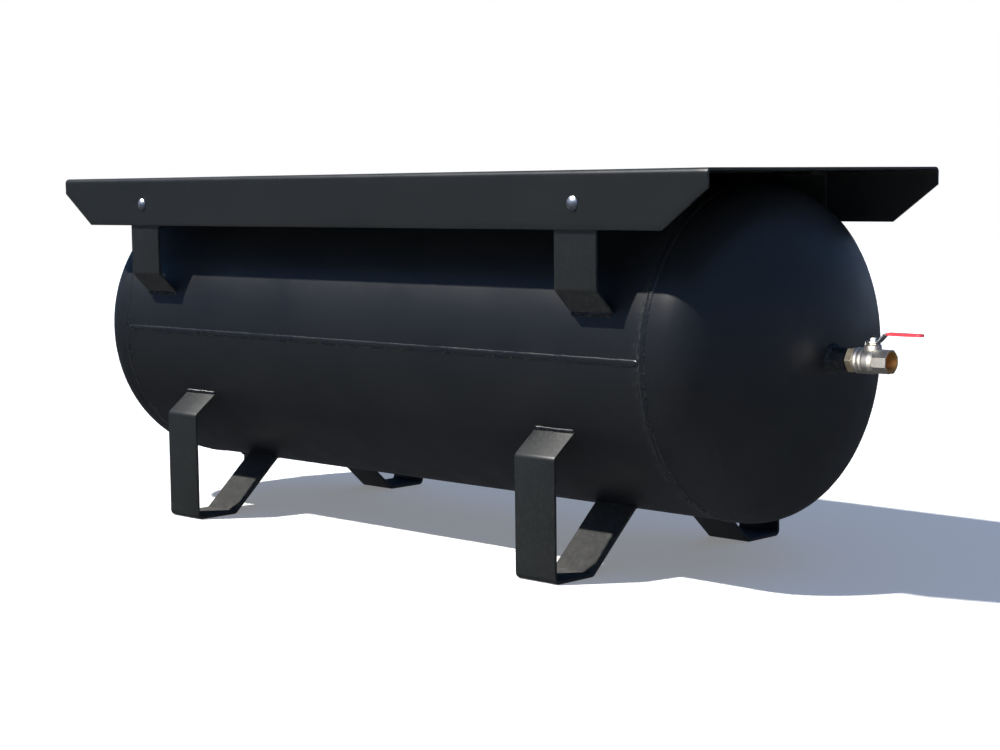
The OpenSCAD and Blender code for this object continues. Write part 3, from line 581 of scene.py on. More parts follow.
seam = {
    "angle": math.radians(0.4), "overlap": math.radians(7), "startAngle": math.radians(200),
    "girthSteps": 240, "lengthSteps": 60, "girthHeight": 1.35 * mm, "rootDepth": 0.05 * mm,
}
seamBead = {
    "Width": 10.5 * mm, "Height": 1.4 * mm, "Sink": 1.2 * mm, "Ripple Pitch": 3.2 * mm, "Ripple": 0.24,
    "Wander": 0.16, "Taper": 9 * mm, "Step": 0.62 * mm, "Around": 12, "Seed": 3.0,
}


def makeSeams():
    count = seam["girthSteps"]
    angles = [seam["startAngle"] + (math.tau + seam["overlap"]) * k / count for k in range(count + 1)]
    ways = [(0, math.cos(a), math.sin(a)) for a in angles]
    for name, end, node, seed in (("rightGirthBead", 1, "right_girth_weld", 5.0),
                                  ("leftGirthBead", -1, "left_girth_weld", 9.0)):
        x = vesselX + end * headStart
        points = [(x, vesselRadius * y, axisHeight + vesselRadius * z) for _, y, z in ways]
        look = dict(seamBead, Seed=seed, Height=seam["girthHeight"])
        girth = bead(name, points, ways, beadPaint, look)
        finishPiece(girth, "receiver", [node], sharp=50)
    out = Vector((0, -math.cos(seam["angle"]), math.sin(seam["angle"])))
    root = Vector((0, 0, axisHeight)) + out * (vesselRadius - seam["rootDepth"])
    low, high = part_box("seam_weld")
    count = seam["lengthSteps"]
    points = [(low.x + (high.x - low.x) * k / count, root.y, root.z) for k in range(count + 1)]
    along = bead("lengthwiseBead", points, [out] * (count + 1), beadPaint, seamBead)
    finishPiece(along, "receiver", ["seam_weld"], sharp=50)


makeSeams()
print("seam beads made")


# Deck: one bent sheet, both flanges cut on the slant at their ends

deckSheet = {
    "flangeEnd": 27 * mm, "cutRun": 80 * mm, "thickness": 4 * mm, "bend": 8 * mm,
    "edge": 0.9 * mm, "edgeAngle": math.radians(50), "rows": 72, "columns": 16, "flangeRows": 5,
    "bendSteps": 7, "wave": 0.45 * mm, "waveScale": 3.1, "waveSeed": 5,
}


# The front outline goes up, over the top and down the back; each point is pulled in by a shallow wave
def makeDeck():
    low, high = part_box("deck")
    halfLength = (high.x - low.x) / 2
    middle = (high.x + low.x) / 2
    cutTop = high.z - deckSheet["flangeEnd"]
    count = deckSheet["flangeRows"]
    levels = [low.z + (cutTop - low.z) * k / count for k in range(count + 1)]
    levels.append(cutTop + (high.z - cutTop) * 0.4)
    columns = deckSheet["columns"]
    corner = deckSheet["bend"]
    front = [(low.y, z, 0) for z in levels]
    top = [(low.y + (high.y - low.y) * k / columns, high.z, 0) for k in range(1, columns)]
    back = [(high.y, z, 0) for z in reversed(levels)]
    section = front + [(low.y, high.z, corner)] + top + [(high.y, high.z, corner)] + back
    section = roundCorners(section, deckSheet["bendSteps"])
    rows = deckSheet["rows"]
    scale = deckSheet["waveScale"]
    points = []
    for k in range(rows + 1):
        for y, z in section:
            short = deckSheet["cutRun"] * max(0, cutTop - z) / (cutTop - low.z)
            x = middle + (halfLength - short) * (2 * k / rows - 1)
            wave = noise.noise(Vector((x * scale, y * scale, z * scale + deckSheet["waveSeed"])))
            dent = deckSheet["wave"] * (0.5 + 0.5 * wave)
            onTop = min(1, max(0, (z - high.z + 2 * corner) / corner))
            side = 1 if y > 0 else -1
            points.append((x, y - side * dent * (1 - onTop), z - dent * onTop))
    wide = len(section)
    faces = [(k * wide + i, k * wide + i + 1, (k + 1) * wide + i + 1, (k + 1) * wide + i)
             for k in range(rows) for i in range(wide - 1)]
    sheet = newPiece("deckSheet", points, (), faces)
    work = bmesh.new()
    work.from_mesh(sheet.data)
    bmesh.ops.recalc_face_normals(work, faces=work.faces)
    topFace = max(work.faces, key=lambda face: face.calc_center_median().z)
    if topFace.normal.z < 0:
        bmesh.ops.reverse_faces(work, faces=work.faces)
    work.to_mesh(sheet.data)
    work.free()
    wall = sheet.modifiers.new("wall", "SOLIDIFY")
    wall.thickness = deckSheet["thickness"]
    wall.offset = -1
    wall.use_even_offset = True
    edge = sheet.modifiers.new("edge", "BEVEL")
    edge.width = deckSheet["edge"]
    edge.segments = 3
    edge.limit_method = "ANGLE"
    edge.angle_limit = deckSheet["edgeAngle"]
    bakeModifiers(sheet, framePaint)
    finishPiece(sheet, "receiver", ["deck"])


makeDeck()
print("deck made")


# Feet and brackets: flat bar bent in the (Y, Z) plane, welded to the shell

bar = {
    "thickness": 5 * mm, "bend": 7.5 * mm, "bendSteps": 8, "edge": 1.1 * mm, "sink": 2.5 * mm,
    "weldLift": 0.4 * mm, "weldShort": 0.5 * mm, "weldSteps": 8,
}
foot = {
    "bendHeight": 185 * mm, "sole": 84 * mm, "tabSlope": math.radians(37.6),
    "legSlope": math.radians(42.5),
}
bracket = {"bendHeight": 429 * mm, "slope": math.radians(44), "seat": 42 * mm}
cornerBead = {
    "Width": 8.6 * mm, "Height": 3.0 * mm, "Sink": 2.2 * mm, "Ripple Pitch": 2.1 * mm, "Ripple": 0.42,
    "Wander": 0.42, "Taper": 3 * mm, "Step": 0.42 * mm, "Around": 12, "Seed": 1.0,
}


def wayOf(angle):
    return Vector((math.cos(angle), math.sin(angle)))


# Distance from a (y, z) point along a way to the shell
def toShell(point, way):
    gap = point - Vector((0, axisHeight))
    ahead = gap.dot(way)
    return -ahead - math.sqrt(ahead * ahead - gap.dot(gap) + vesselRadius ** 2)


def leftOf(way):
    return Vector((-way.y, way.x))


# Moves a line by a distance to its left, with mitred corners
def shiftLeft(points, distance):
    moved = []
    for i, point in enumerate(points):
        ways = []
        if i > 0:
            ways.append(leftOf((point - points[i - 1]).normalized()))
        if i < len(points) - 1:
            ways.append(leftOf((points[i + 1] - point).normalized()))
        middle = sum(ways, Vector((0, 0))).normalized()
        moved.append(point + middle * distance / middle.dot(ways[0]))
    return moved


def bentBar(name, line, place, side, node):
    centreX, width = place
    corners = [(p.x, p.y, bar["bend"]) for p in shiftLeft(line, bar["thickness"] / 2)]
    path = roundCorners(corners, bar["bendSteps"])
    piece = newPiece(name, [(centreX, -side * y, z) for y, z in path], chain(len(path)))
    sizes = {"Width": width, "Thickness": bar["thickness"], "Edge Radius": bar["edge"]}
    runTree(piece, barTree, framePaint, sizes)
    finishPiece(piece, "receiver", [node])


def barWeld(point, faceWay, place, side, seed):
    centreX, width = place
    shellWay = (point - Vector((0, axisHeight))).normalized()
    out = (shellWay + faceWay).normalized()
    spot = point + out * bar["weldLift"]
    count = bar["weldSteps"]
    reach = width / 2 - bar["weldShort"]
    points = [(centreX - reach + 2 * reach * k / count, -side * spot.x, spot.y) for k in range(count + 1)]
    ways = [(0, -side * out.x, out.y)] * (count + 1)
    return bead("barWeld", points, ways, beadPaint, dict(cornerBead, Seed=seed))


# Middle and width of a bar's CAD node, its outer face as seen from the front, and its top
def barPlace(node):
    low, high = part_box(node)
    return ((low.x + high.x) / 2, high.x - low.x), -max(abs(low.y), abs(high.y)), high.z


# One bar goes from the tab on the shell down to the sole and up the leg to the shell again
def makeFoot(name, node, side, seed):
    place, faceY, _ = barPlace(node)
    top = Vector((faceY, foot["bendHeight"]))
    toe = Vector((faceY + foot["sole"], 0))
    tabWay, legWay = wayOf(foot["tabSlope"]), wayOf(foot["legSlope"])
    tabEnd = top + tabWay * toShell(top, tabWay)
    legEnd = toe + legWay * toShell(toe, legWay)
    line = [tabEnd + tabWay * bar["sink"], top, Vector((faceY, 0)), toe, legEnd + legWay * 2 * bar["sink"]]
    bentBar(name, line, place, side, node)
    return [barWeld(tabEnd, leftOf(tabWay), place, side, seed),
            barWeld(legEnd, -leftOf(legWay), place, side, seed + 3)]


def makeBracket(name, node, side, seed):
    place, faceY, topZ = barPlace(node)
    corner = Vector((faceY, topZ))
    bend = Vector((faceY, bracket["bendHeight"]))
    way = wayOf(-bracket["slope"])
    legEnd = bend + way * toShell(bend, way)
    line = [corner + Vector((bracket["seat"], 0)), corner, bend, legEnd + way * 2 * bar["sink"]]
    bentBar(name, line, place, side, node)
    return barWeld(legEnd, -leftOf(way), place, side, seed)


def makeFeetAndBrackets():
    footWelds = []
    bracketWelds = []
    seed = 1.0
    for sideName, side in (("front", 1), ("rear", -1)):
        for endName in ("left", "right"):
            node = f"{sideName}_{endName}"
            name = sideName + endName.title()
            footWelds += makeFoot(f"{name}Foot", f"{node}_foot", side, seed)
            bracketWelds.append(makeBracket(f"{name}Bracket", f"{node}_bracket", side, seed + 6))
            seed += 10
    for name, welds, node in (("footWelds", footWelds, "foot_welds"),
                              ("bracketWelds", bracketWelds, "bracket_welds")):
        finishPiece(joined(name, welds), "receiver", [node], sharp=55)


makeFeetAndBrackets()
print("feet and brackets made")


# Deck bolts: domed bolt, washer and nut at each of four holes

deckBolt = {
    "headRadius": 10.3 * mm, "headHeight": 4.8 * mm, "rim": 0.7 * mm, "shank": 4 * mm, "length": 25 * mm,
    "pitch": 1.25 * mm, "thread": 0.6 * mm, "grip": 9 * mm,
    "washerRadius": 8 * mm, "washerThickness": 1.6 * mm, "washerEdge": 0.3 * mm,
    "nutAcross": 13 * mm, "nutHeight": 6.4 * mm, "nutChamfer": 0.7 * mm, "tip": 0.8 * mm,
    "turnEach": 0.3,
}
threadShape = {"crest": (0.1, 0.25), "root": (0.55, 0.7)}  # where each begins and ends in one pitch


# Saw-tooth outline of a thread between two places on the axis
def threadLine(start, finish, crest, root, pitch):
    turns = max(1, int(abs(finish - start) / pitch))
    step = (finish - start) / turns
    points = []
    for k in range(turns):
        points += [(start + step * (k + share), crest) for share in threadShape["crest"]]
        points += [(start + step * (k + share), root) for share in threadShape["root"]]
    return points + [(finish, crest)]


# Corner radius of a bar with that many flats
def cornerRadius(across, flats=6):
    return across / 2 / math.cos(math.pi / flats)


# Outline of a hexagon nut with chamfered corners and a countersunk bore
def nutProfile(start, height, across, bore, chamfer):
    rim = cornerRadius(across)
    crown = across / 2 * 0.95
    return [(start, bore + chamfer), (start, crown), (start + chamfer, rim), (start + height - chamfer, rim),
            (start + height, crown), (start + height, bore + chamfer), (start + height - chamfer, bore),
            (start + chamfer, bore), (start, bore + chamfer)]


# Puts a fastener at each of the four holes, each turned a little further round than the last
def atDeckBolts(name, master, node):
    low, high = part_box("deck_bolts")
    points = []
    turns = []
    for end in ("left", "right"):
        boxLow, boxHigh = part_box(f"front_{end}_bracket")
        for side in (-1, 1):
            reach = high.y - deckBolt["headHeight"]
            points.append(((boxLow.x + boxHigh.x) / 2, side * reach, (low.z + high.z) / 2))
            turns.append((deckBolt["turnEach"] * len(points), 0, -side * math.pi / 2))
    piece = newPiece(name, points)
    attribute = piece.data.attributes.new("turn", "FLOAT_VECTOR", "POINT")
    attribute.data.foreach_set("vector", [c for turn in turns for c in turn])
    runTree(piece, fastenerTree, zincPlate, {"Fastener": master})
    bpy.data.objects.remove(master)
    finishPiece(piece, "receiver", [node], sharp=35)


# The masters point into the deck along +X, with the flange's outer face at x = 0
def makeDeckBolts():
    bolt = deckBolt
    shank, thread = bolt["shank"], bolt["thread"]
    domeHeight = bolt["headHeight"] - bolt["rim"]
    domeRadius = (bolt["headRadius"] ** 2 + domeHeight ** 2) / (2 * domeHeight)
    edgeAngle = math.asin(bolt["headRadius"] / domeRadius)
    centre = domeRadius - bolt["headHeight"]
    dome = arcPoints(centre, 0, domeRadius, math.pi, math.pi - edgeAngle, 12)
    rim = [(-0.1 * mm, bolt["headRadius"]), (0, bolt["headRadius"] - 0.3 * mm), (0, shank)]
    threaded = threadLine(bolt["grip"], bolt["length"] - bolt["tip"], shank, shank - thread, bolt["pitch"])
    end = [(bolt["length"], shank - bolt["tip"]), (bolt["length"], 0)]
    master = turned("boltMaster", dome + rim + threaded + end, zincPlate, columns=48)
    atDeckBolts("deckBolts", master, "deck_bolts")
    start = bolt["grip"]
    finish = start + bolt["washerThickness"]
    outer, edge = bolt["washerRadius"], bolt["washerEdge"]
    ring = roundCorners([(start, shank, 0), (start, outer, edge), (finish, outer, edge), (finish, shank, 0)],
                        3, closed=True)
    atDeckBolts("deckWashers", turned("washerMaster", ring, zincPlate, columns=48), "deck_washers")
    across = bolt["nutAcross"]
    nut = nutProfile(finish, bolt["nutHeight"], across, shank - thread / 2, bolt["nutChamfer"])
    master = turned("nutMaster", nut, zincPlate, columns=72, acrossFlats=across)
    atDeckBolts("deckNuts", master, "deck_nuts")


makeDeckBolts()
print("deck bolts made")


# Pipe sockets, their weld rings, the nipple and the drain plug

pipe = {
    "bore": 12.06 * mm, "threadDepth": 1.16 * mm, "pitch": 1.814 * mm, "socketRadius": 16.5 * mm,
    "chamfer": 1.2 * mm, "countersink": 0.3 * mm, "threadStart": 1.2 * mm, "threadEnd": 1 * mm,
    "sink": 5 * mm, "threadGap": 0.06 * mm,
    "drainOut": 22 * mm, "plugAcross": 30 * mm, "plugHeight": 9 * mm, "plugStem": 14 * mm,
    "plugEdge": 0.8 * mm, "plugChamfer": 2.2 * mm,
    "nippleWall": 3.4 * mm, "collarRadius": 14.6 * mm, "collarLength": 2.9 * mm, "collarEdge": 0.5 * mm,
}
threadRoot = pipe["bore"] + pipe["threadDepth"]
ringBead = {
    "Width": 9.5 * mm, "Height": 2.9 * mm, "Sink": 3.0 * mm, "Ripple Pitch": 2.3 * mm, "Ripple": 0.38,
    "Wander": 0.30, "Taper": 4 * mm, "Step": 0.4 * mm, "Around": 12, "Seed": 20.0,
}
ringPlace = {"out": 1.6 * mm, "rise": 1.5 * mm, "startAngle": 0.8, "overlap": 0.35, "steps": 48}


# Outline of a pipe socket with an inside thread, from its root to its mouth
def socketProfile(start, finish):
    radius, bore = pipe["socketRadius"], pipe["bore"]
    outside = roundCorners([(start, radius, 0), (finish, radius, pipe["chamfer"]),
                            (finish, threadRoot + pipe["countersink"], 0)], 3)
    mouth, end = finish - pipe["threadStart"], start + pipe["threadEnd"]
    inside = threadLine(mouth, end, bore, threadRoot, pipe["pitch"])
    return outside + inside + [(start, bore), outside[0]]


# Fillet ring round a socket that stands at x = rise on a plate, drawn round the X axis
def weldRing(name, rise, place, seed, node):
    count = ringPlace["steps"]
    ring = pipe["socketRadius"] + ringPlace["out"]
    height = rise + ringPlace["rise"]
    sweep = math.tau + ringPlace["overlap"]
    angles = [ringPlace["startAngle"] + sweep * k / count for k in range(count + 1)]
    points = [place @ Vector((height, ring * math.cos(a), ring * math.sin(a))) for a in angles]
    turnOnly = place.to_3x3()
    ways = [turnOnly @ Vector((1, math.cos(a), math.sin(a))) for a in angles]
    piece = bead(name, points, ways, beadPaint, dict(ringBead, Seed=seed))
    finishPiece(piece, "receiver", [node], sharp=55)


# One socket on each head, and one under the shell whose axis hangs down from the shell's bottom line
def makeSockets():
    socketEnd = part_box("outlet_socket")[1].x - vesselX
    sag = crownRadius - math.sqrt(crownRadius ** 2 - pipe["socketRadius"] ** 2)
    low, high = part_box("drain_socket")
    bottom = Matrix.Translation(((low.x + high.x) / 2, 0, axisHeight - vesselRadius))
    hang = bottom @ Matrix.Rotation(math.pi / 2, 4, "Y")
    sink = pipe["sink"]
    for name, place, start, finish, rise, seed in (
            ("outlet", onAxis, apexX - sink, socketEnd, apexX - sag, 20.0),
            ("inlet", flipped, apexX - sink, socketEnd, apexX - sag, 40.0),
            ("drain", hang, -sink, pipe["drainOut"], 0, 60.0)):
        socket = turned(f"{name}Socket", socketProfile(start, finish), tankPaint, place, columns=72)
        finishPiece(socket, "receiver", [f"{name}_socket"])
        weldRing(f"{name}SocketWeld", rise, place, seed, f"{name}_socket_weld")
    makePlug(hang)


def makePlug(hang):
    start, across = pipe["drainOut"], pipe["plugAcross"]
    finish = start + pipe["plugHeight"]
    rim = cornerRadius(across)
    corner = finish - pipe["plugChamfer"]
    head = roundCorners([(start, 0, 0), (start, rim, pipe["plugEdge"]), (corner, rim, 0),
                         (finish, across * 0.47, 0), (finish, 0, 0)], 3)
    tip = start - pipe["plugStem"]
    crest, root = pipe["bore"] - pipe["threadGap"], pipe["bore"] - pipe["threadDepth"]
    stem = [(tip, 0)] + threadLine(tip, start, crest, root, pipe["pitch"]) + [(start + 1 * mm, 0)]
    plug = joined("drainPlug", [
        turned("plugHead", head, darkSteel, hang, columns=72, acrossFlats=across),
        turned("plugStem", stem, darkSteel, hang, columns=48)])
    finishPiece(plug, "receiver", ["drain_plug"], sharp=30)


def makeNipple():
    low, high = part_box("outlet_nipple")
    start, finish = low.x - vesselX, high.x - vesselX
    middle = (start + finish) / 2
    crest, root = pipe["bore"] - pipe["threadGap"], pipe["bore"] - pipe["threadDepth"]
    inside = pipe["bore"] - pipe["nippleWall"]
    left, right = middle - pipe["collarLength"] / 2, middle + pipe["collarLength"] / 2
    outer, edge = pipe["collarRadius"], pipe["collarEdge"]
    collar = roundCorners([(left, crest, 0), (left, outer, edge), (right, outer, edge), (right, crest, 0)], 3)
    gap = 0.05 * mm
    before = threadLine(start, left - gap, crest, root, pipe["pitch"])
    after = threadLine(right + gap, finish, crest, root, pipe["pitch"])
    profile = [(start, inside)] + before + collar + after + [(finish, inside), (start, inside)]
    nipple = turned("outletNipple", profile, darkSteel, onAxis, columns=72)
    finishPiece(nipple, "receiver", ["outlet_nipple"], sharp=30)


makeSockets()
makeNipple()
print("sockets made")


# Ball valve, drawn from its inlet end along X, and its bonnet along Z from the axis

valve = {
    "across": 33 * mm, "round": 18.6 * mm, "waist": 17.4 * mm, "neckWaist": 18 * mm, "joint": 12 * mm,
    "jointGap": 0.2 * mm, "octagon": 24 * mm, "port": 9.5 * mm, "chamber": 15.6 * mm,
    "chamberEnd": 14.6 * mm, "threadLength": 14 * mm, "barrel": 16.2 * mm, "liner": 0.2 * mm,
    "bonnet": 9.5 * mm, "bonnetFoot": 12 * mm, "bonnetTop": 22.8 * mm, "packing": 6.5 * mm,
    "packingFoot": 19.4 * mm, "washerSeat": 17.6 * mm, "stem": 4.08 * mm, "glandTop": 25.6 * mm,
    "glandGap": 0.52 * mm, "stopOut": 12.2 * mm, "stopHeight": 7.6 * mm, "stopGap": math.radians(19.8),
}
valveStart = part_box("valve_end_piece")[0].x
valveLength = valveEnd - valveStart
stemX = (ballLow.x + ballHigh.x) / 2
onValve = Matrix.Translation((valveStart, 0, axisHeight))
onStem = Matrix.Translation((stemX, 0, axisHeight)) @ Matrix.Rotation(-math.pi / 2, 4, "Y")


# Outer shape of the round body: three soft ribs; the place and rounding of each corner are in mm
def bodyOutside():
    start = valve["joint"] + valve["jointGap"]
    waist, neckWaist, crest = valve["waist"], valve["neckWaist"], valve["round"]
    ribs = [(0, waist, 0.4), (1.2, crest, 0.6), (4, crest, 1.2), (5.6, waist, 1.2),
            (7, waist, 1.2), (8.6, crest, 1.2), (12, crest, 1.2), (13.6, neckWaist, 1.2),
            (15, neckWaist, 1.2), (16.6, crest, 1.2), (26, crest, 2.5), (31, waist, 1)]
    line = [(start + x * mm, r, bend * mm) for x, r, bend in ribs]
    return line + [(valveLength - valve["octagon"] + 2 * mm, valve["across"] / 2 - 2 * mm, 0)]


def makeBodyRound():
    start = valve["joint"] + valve["jointGap"]
    neck = valveLength - valve["octagon"] + 2 * mm
    inner = stemX - valveStart + valve["chamberEnd"]
    port, chamber = valve["port"], valve["chamber"]
    outline = bodyOutside() + [(neck, port, 0), (inner, port, 0), (inner, chamber, 0), (start, chamber, 0)]
    return turned("bodyRound", roundCorners(outline, 4, closed=True), nickelPlate, onValve)


def makeBodyOctagon():
    across, port = valve["across"], valve["port"]
    finish = valveLength
    neck = finish - valve["octagon"]
    rim = cornerRadius(across, 8)
    shoulder = [(neck, port, 0), (neck, rim - 1.6 * mm, 0), (neck + 1.2 * mm, rim, 0.5 * mm),
                (finish - 1.1 * mm, rim, 0.4 * mm), (finish, across / 2 - 0.9 * mm, 0.3 * mm),
                (finish, threadRoot + 0.5 * mm, 0)]
    threadEnd = finish - valve["threadLength"]
    thread = threadLine(finish - 1 * mm, threadEnd, pipe["bore"], threadRoot, pipe["pitch"])
    profile = roundCorners(shoulder, 3) + thread + [(threadEnd - 0.5 * mm, port), (neck, port)]
    place = onValve @ Matrix.Rotation(math.pi / 8, 4, "X")
    return turned("bodyOctagon", profile, nickelPlate, place, flats=8, acrossFlats=across)


def makeBodyBonnet():
    outer, inner, stem = valve["bonnet"], valve["packing"], valve["stem"]
    top, foot = valve["bonnetTop"] - 0.05 * mm, valve["bonnetFoot"]
    ledge, seat = valve["packingFoot"], valve["washerSeat"]
    outline = [(foot, outer, 0), (top, outer, 0.7 * mm), (top, inner, 0.3 * mm), (ledge, inner, 0),
               (ledge, stem, 0), (seat, stem, 0), (seat, inner, 0), (foot, inner, 0)]
    return turned("bodyBonnet", roundCorners(outline, 3, closed=True), nickelPlate, onStem, columns=72)


# Collar round the bonnet that stops the lever's tab at both ends of its quarter turn
def makeBodyStop():
    inner = valve["bonnet"] - 1 * mm
    middle = (inner + valve["stopOut"]) / 2
    first, last = math.pi + valve["stopGap"], 2.5 * math.pi - valve["stopGap"]
    height = axisHeight + (valve["bonnetTop"] - 0.4 * mm - valve["stopHeight"] / 2)
    arc = [(stemX + x, y, height) for x, y in arcPoints(0, 0, middle, first, last, 28)]
    collar = newPiece("bodyStop", arc, chain(len(arc)))
    sizes = {"Width": valve["stopOut"] - inner, "Thickness": valve["stopHeight"], "Edge Radius": 0.5 * mm}
    return runTree(collar, barTree, nickelPlate, sizes)


def makeValveBody():
    body = joined("valveBody", [makeBodyRound(), makeBodyOctagon(), makeBodyBonnet(), makeBodyStop()])
    finishPiece(body, "receiver", ["valve_body"], sharp=32)


def makeValveTrim():
    across, joint, chamber = valve["across"], valve["joint"], valve["chamber"]
    rim = cornerRadius(across)
    flat = across / 2 - 0.8 * mm
    liner = chamber - valve["liner"]
    outside = [(0, threadRoot + 0.4 * mm, 0), (0, flat, 0.3 * mm), (1.3 * mm, rim, 0.4 * mm),
               (joint - 1.3 * mm, rim, 0.4 * mm), (joint, flat, 0.3 * mm),
               (joint, valve["barrel"] - 0.7 * mm, 0), (joint + 5 * mm, liner, 0),
               (joint + 10 * mm, liner, 0), (joint + 10 * mm, chamber - 1 * mm, 0),
               (valve["threadLength"] + 1 * mm, valve["port"], 0)]
    profile = roundCorners(outside, 3)
    thread = threadLine(valve["threadLength"], 1 * mm, pipe["bore"], threadRoot, pipe["pitch"])
    piece = turned("valveEndPiece", profile + thread + profile[:1], platedBrass, onValve, acrossFlats=across)
    finishPiece(piece, "receiver", ["valve_end_piece"], sharp=30)
    across = 2 * (valve["packing"] + valve["glandGap"])
    height = valve["glandTop"] - valve["bonnetTop"]
    nut = nutProfile(valve["bonnetTop"], height, across, valve["stem"], 0.4 * mm)
    piece = turned("glandNut", nut, platedBrass, onStem, columns=72, acrossFlats=across)
    finishPiece(piece, "receiver", ["gland_nut"], sharp=30)


makeValveBody()
makeValveTrim()
print("valve body made")


# Lever, grip and nut: they turn with the stem

lever = {
    "hubHeight": 26 * mm, "hub": 10 * mm, "reach": 80.5 * mm, "rise": 12 * mm, "thickness": 2.2 * mm,
    "halfWidth": 6.5 * mm, "bend": 3 * mm, "edge": 0.45 * mm, "tabWidth": 6 * mm, "tabDepth": 6 * mm,
    "tabIn": 9.85 * mm, "tabOut": 12.2 * mm, "gripWall": 0.8 * mm, "gripStart": 25.4 * mm,
    "gripEdge": 1.5 * mm, "rampGap": 0.4 * mm, "tabBend": 1.3 * mm, "tabIntoHub": 2 * mm,
    "nutAcross": 10 * mm, "nutHeight": 5.1 * mm, "nutChamfer": 0.6 * mm, "stemTop": 3.06 * mm,
}


# Underside of the lever seen from the side, from the back of the hub to the tip
def leverLine():
    rampStart = lever["hub"] + lever["rampGap"]
    corners = [(-lever["hub"], 0, 0), (rampStart, 0, lever["bend"]),
               (rampStart + lever["rise"], lever["rise"], lever["bend"]), (lever["reach"], lever["rise"], 0)]
    return roundCorners(corners, 6)


def heightAt(x, line):
    for (x0, z0), (x1, z1) in zip(line, line[1:]):
        if x <= x1:
            return z0 + (z1 - z0) * max(0, x - x0) / (x1 - x0)
    return line[-1][1]


# Half the width of the round hub, the straight arm and its round tip; the grip has no hub
def halfWidthAt(x, half, hub):
    tip = lever["reach"] - lever["halfWidth"]
    if x > tip:
        return math.sqrt(max(0, half ** 2 - (x - tip) ** 2))
    if hub == 0:
        return half
    disc = math.sqrt(max(0, hub ** 2 - x * x)) if x < hub else 0
    return disc if x < 0 else max(disc, half)


# Closed plate over the lever's line, from x = start to the tip, grown by grow on all faces
def leverPlate(name, start, grow, edge, material):
    line = leverLine()
    half = lever["halfWidth"] + grow
    hub = lever["hub"] if start < 0 else 0
    tip = lever["reach"] - half
    quarter = [math.pi / 2 * k / 12 for k in range(13)]
    places = [tip + grow + half * math.sin(angle) for angle in quarter]
    if hub:
        places += [-hub * math.cos(angle) for angle in quarter]
        places += [hub * math.sin(angle) for angle in quarter[1:10]]
        places += [x for x, z in line if 0 < x < tip]
    else:
        places += [start + (tip - start) * k / 12 for k in range(13)]
    places = sorted(set(round(x, 7) for x in places))
    points = []
    for x in places:
        wide = max(halfWidthAt(x, half, hub), 0.05 * mm)
        z = heightAt(x, line) - grow
        points += [(x, wide * k / 3, z) for k in range(-3, 4)]
    faces = [(7 * k + i, 7 * k + 7 + i, 7 * k + 8 + i, 7 * k + 1 + i)
             for k in range(len(places) - 1) for i in range(6)]
    plate = newPiece(name, points, (), faces)
    wall = plate.modifiers.new("wall", "SOLIDIFY")
    wall.thickness = lever["thickness"] + 2 * grow
    wall.offset = 1
    wall.use_even_offset = True
    rounding = plate.modifiers.new("edge", "BEVEL")
    rounding.width = edge
    rounding.segments = 3
    rounding.limit_method = "ANGLE"
    rounding.angle_limit = math.radians(50)
    bakeModifiers(plate, material)
    plate.data.transform(Matrix.Translation((stemX, 0, axisHeight + lever["hubHeight"])))
    return plate


def makeLever():
    hubHeight, top = lever["hubHeight"], lever["hubHeight"] + lever["thickness"]
    plate = leverPlate("leverPlate", -lever["hub"], 0, lever["edge"], leverSteel)
    tabX = stemX - (lever["tabIn"] + lever["tabOut"]) / 2
    tabTop = top - 0.8 * mm
    corners = [(stemX - lever["hub"] + lever["tabIntoHub"], tabTop), (tabX, tabTop),
               (tabX, hubHeight - lever["tabDepth"])]
    path = roundCorners([(x, z, lever["tabBend"]) for x, z in corners], 5)
    tab = newPiece("leverTab", [(x, 0, axisHeight + z) for x, z in path], chain(len(path)))
    thickness = lever["tabOut"] - lever["tabIn"]
    sizes = {"Width": lever["tabWidth"], "Thickness": thickness, "Edge Radius": 0.4 * mm}
    runTree(tab, barTree, leverSteel, sizes)
    finishPiece(joined("leverArm", [plate, tab]), "valve_lever", ["lever"], sharp=32)
    grip = leverPlate("leverGrip", lever["gripStart"], lever["gripWall"], lever["gripEdge"], redVinyl)
    finishPiece(grip, "valve_lever", ["lever_grip"], sharp=45)
    across = lever["nutAcross"]
    nut = nutProfile(top, lever["nutHeight"], across, lever["stemTop"], lever["nutChamfer"])
    piece = turned("leverNut", nut, zincPlate, onStem, columns=72, acrossFlats=across)
    finishPiece(piece, "valve_lever", ["lever_nut"], sharp=30)


makeLever()
print("lever made")


# Inner pieces of the valve keep their CAD shape and only get their finish here

for nodeName, material in {
    "ball": ballChrome, "stem": bareBrass, "stem_washer": sealWhite, "stem_packing": sealWhite,
    "inlet_seat": sealWhite, "outlet_seat": sealWhite,
}.items():
    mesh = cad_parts[nodeName].data
    mesh.materials.clear()
    mesh.materials.append(material)
print("inner pieces finished")


# Studio: pale floor under a white dome, one key light, a bluish sky and a grey ground to reflect

studio = {
    "radius": 16.0, "floorColour": (0.84, 0.84, 0.84, 1), "floorShade": 0.985, "floorGlow": 0.26,
    "domeGlow": 1.0, "domeSteps": 24, "groundDrop": 2 * mm,
    "keyWay": Vector((-0.356, -0.462, 0.812)), "keyPower": 5.6, "keyAngle": math.radians(1.6),
    "keyColour": (1.0, 0.965, 0.915),
    "sky": (0.062, 0.132, 0.285, 1), "ground": (0.17, 0.17, 0.175, 1), "haze": (0.070, 0.090, 0.120, 1),
    "gleam": (0.36, 0.42, 0.50, 1), "gleamSpan": (0.35, 0.90), "hazeSpan": (-0.15, 0.30),
    "fillWay": Vector((0.22, -0.96, 0.12)), "fillDistance": 1.5, "fillSize": 1.7, "fillPower": 42.0,
    "fillColour": (1.0, 0.98, 0.95),
}


def hideFrom(piece, *rays):
    for ray in rays:
        setattr(piece, "visible_" + ray, False)


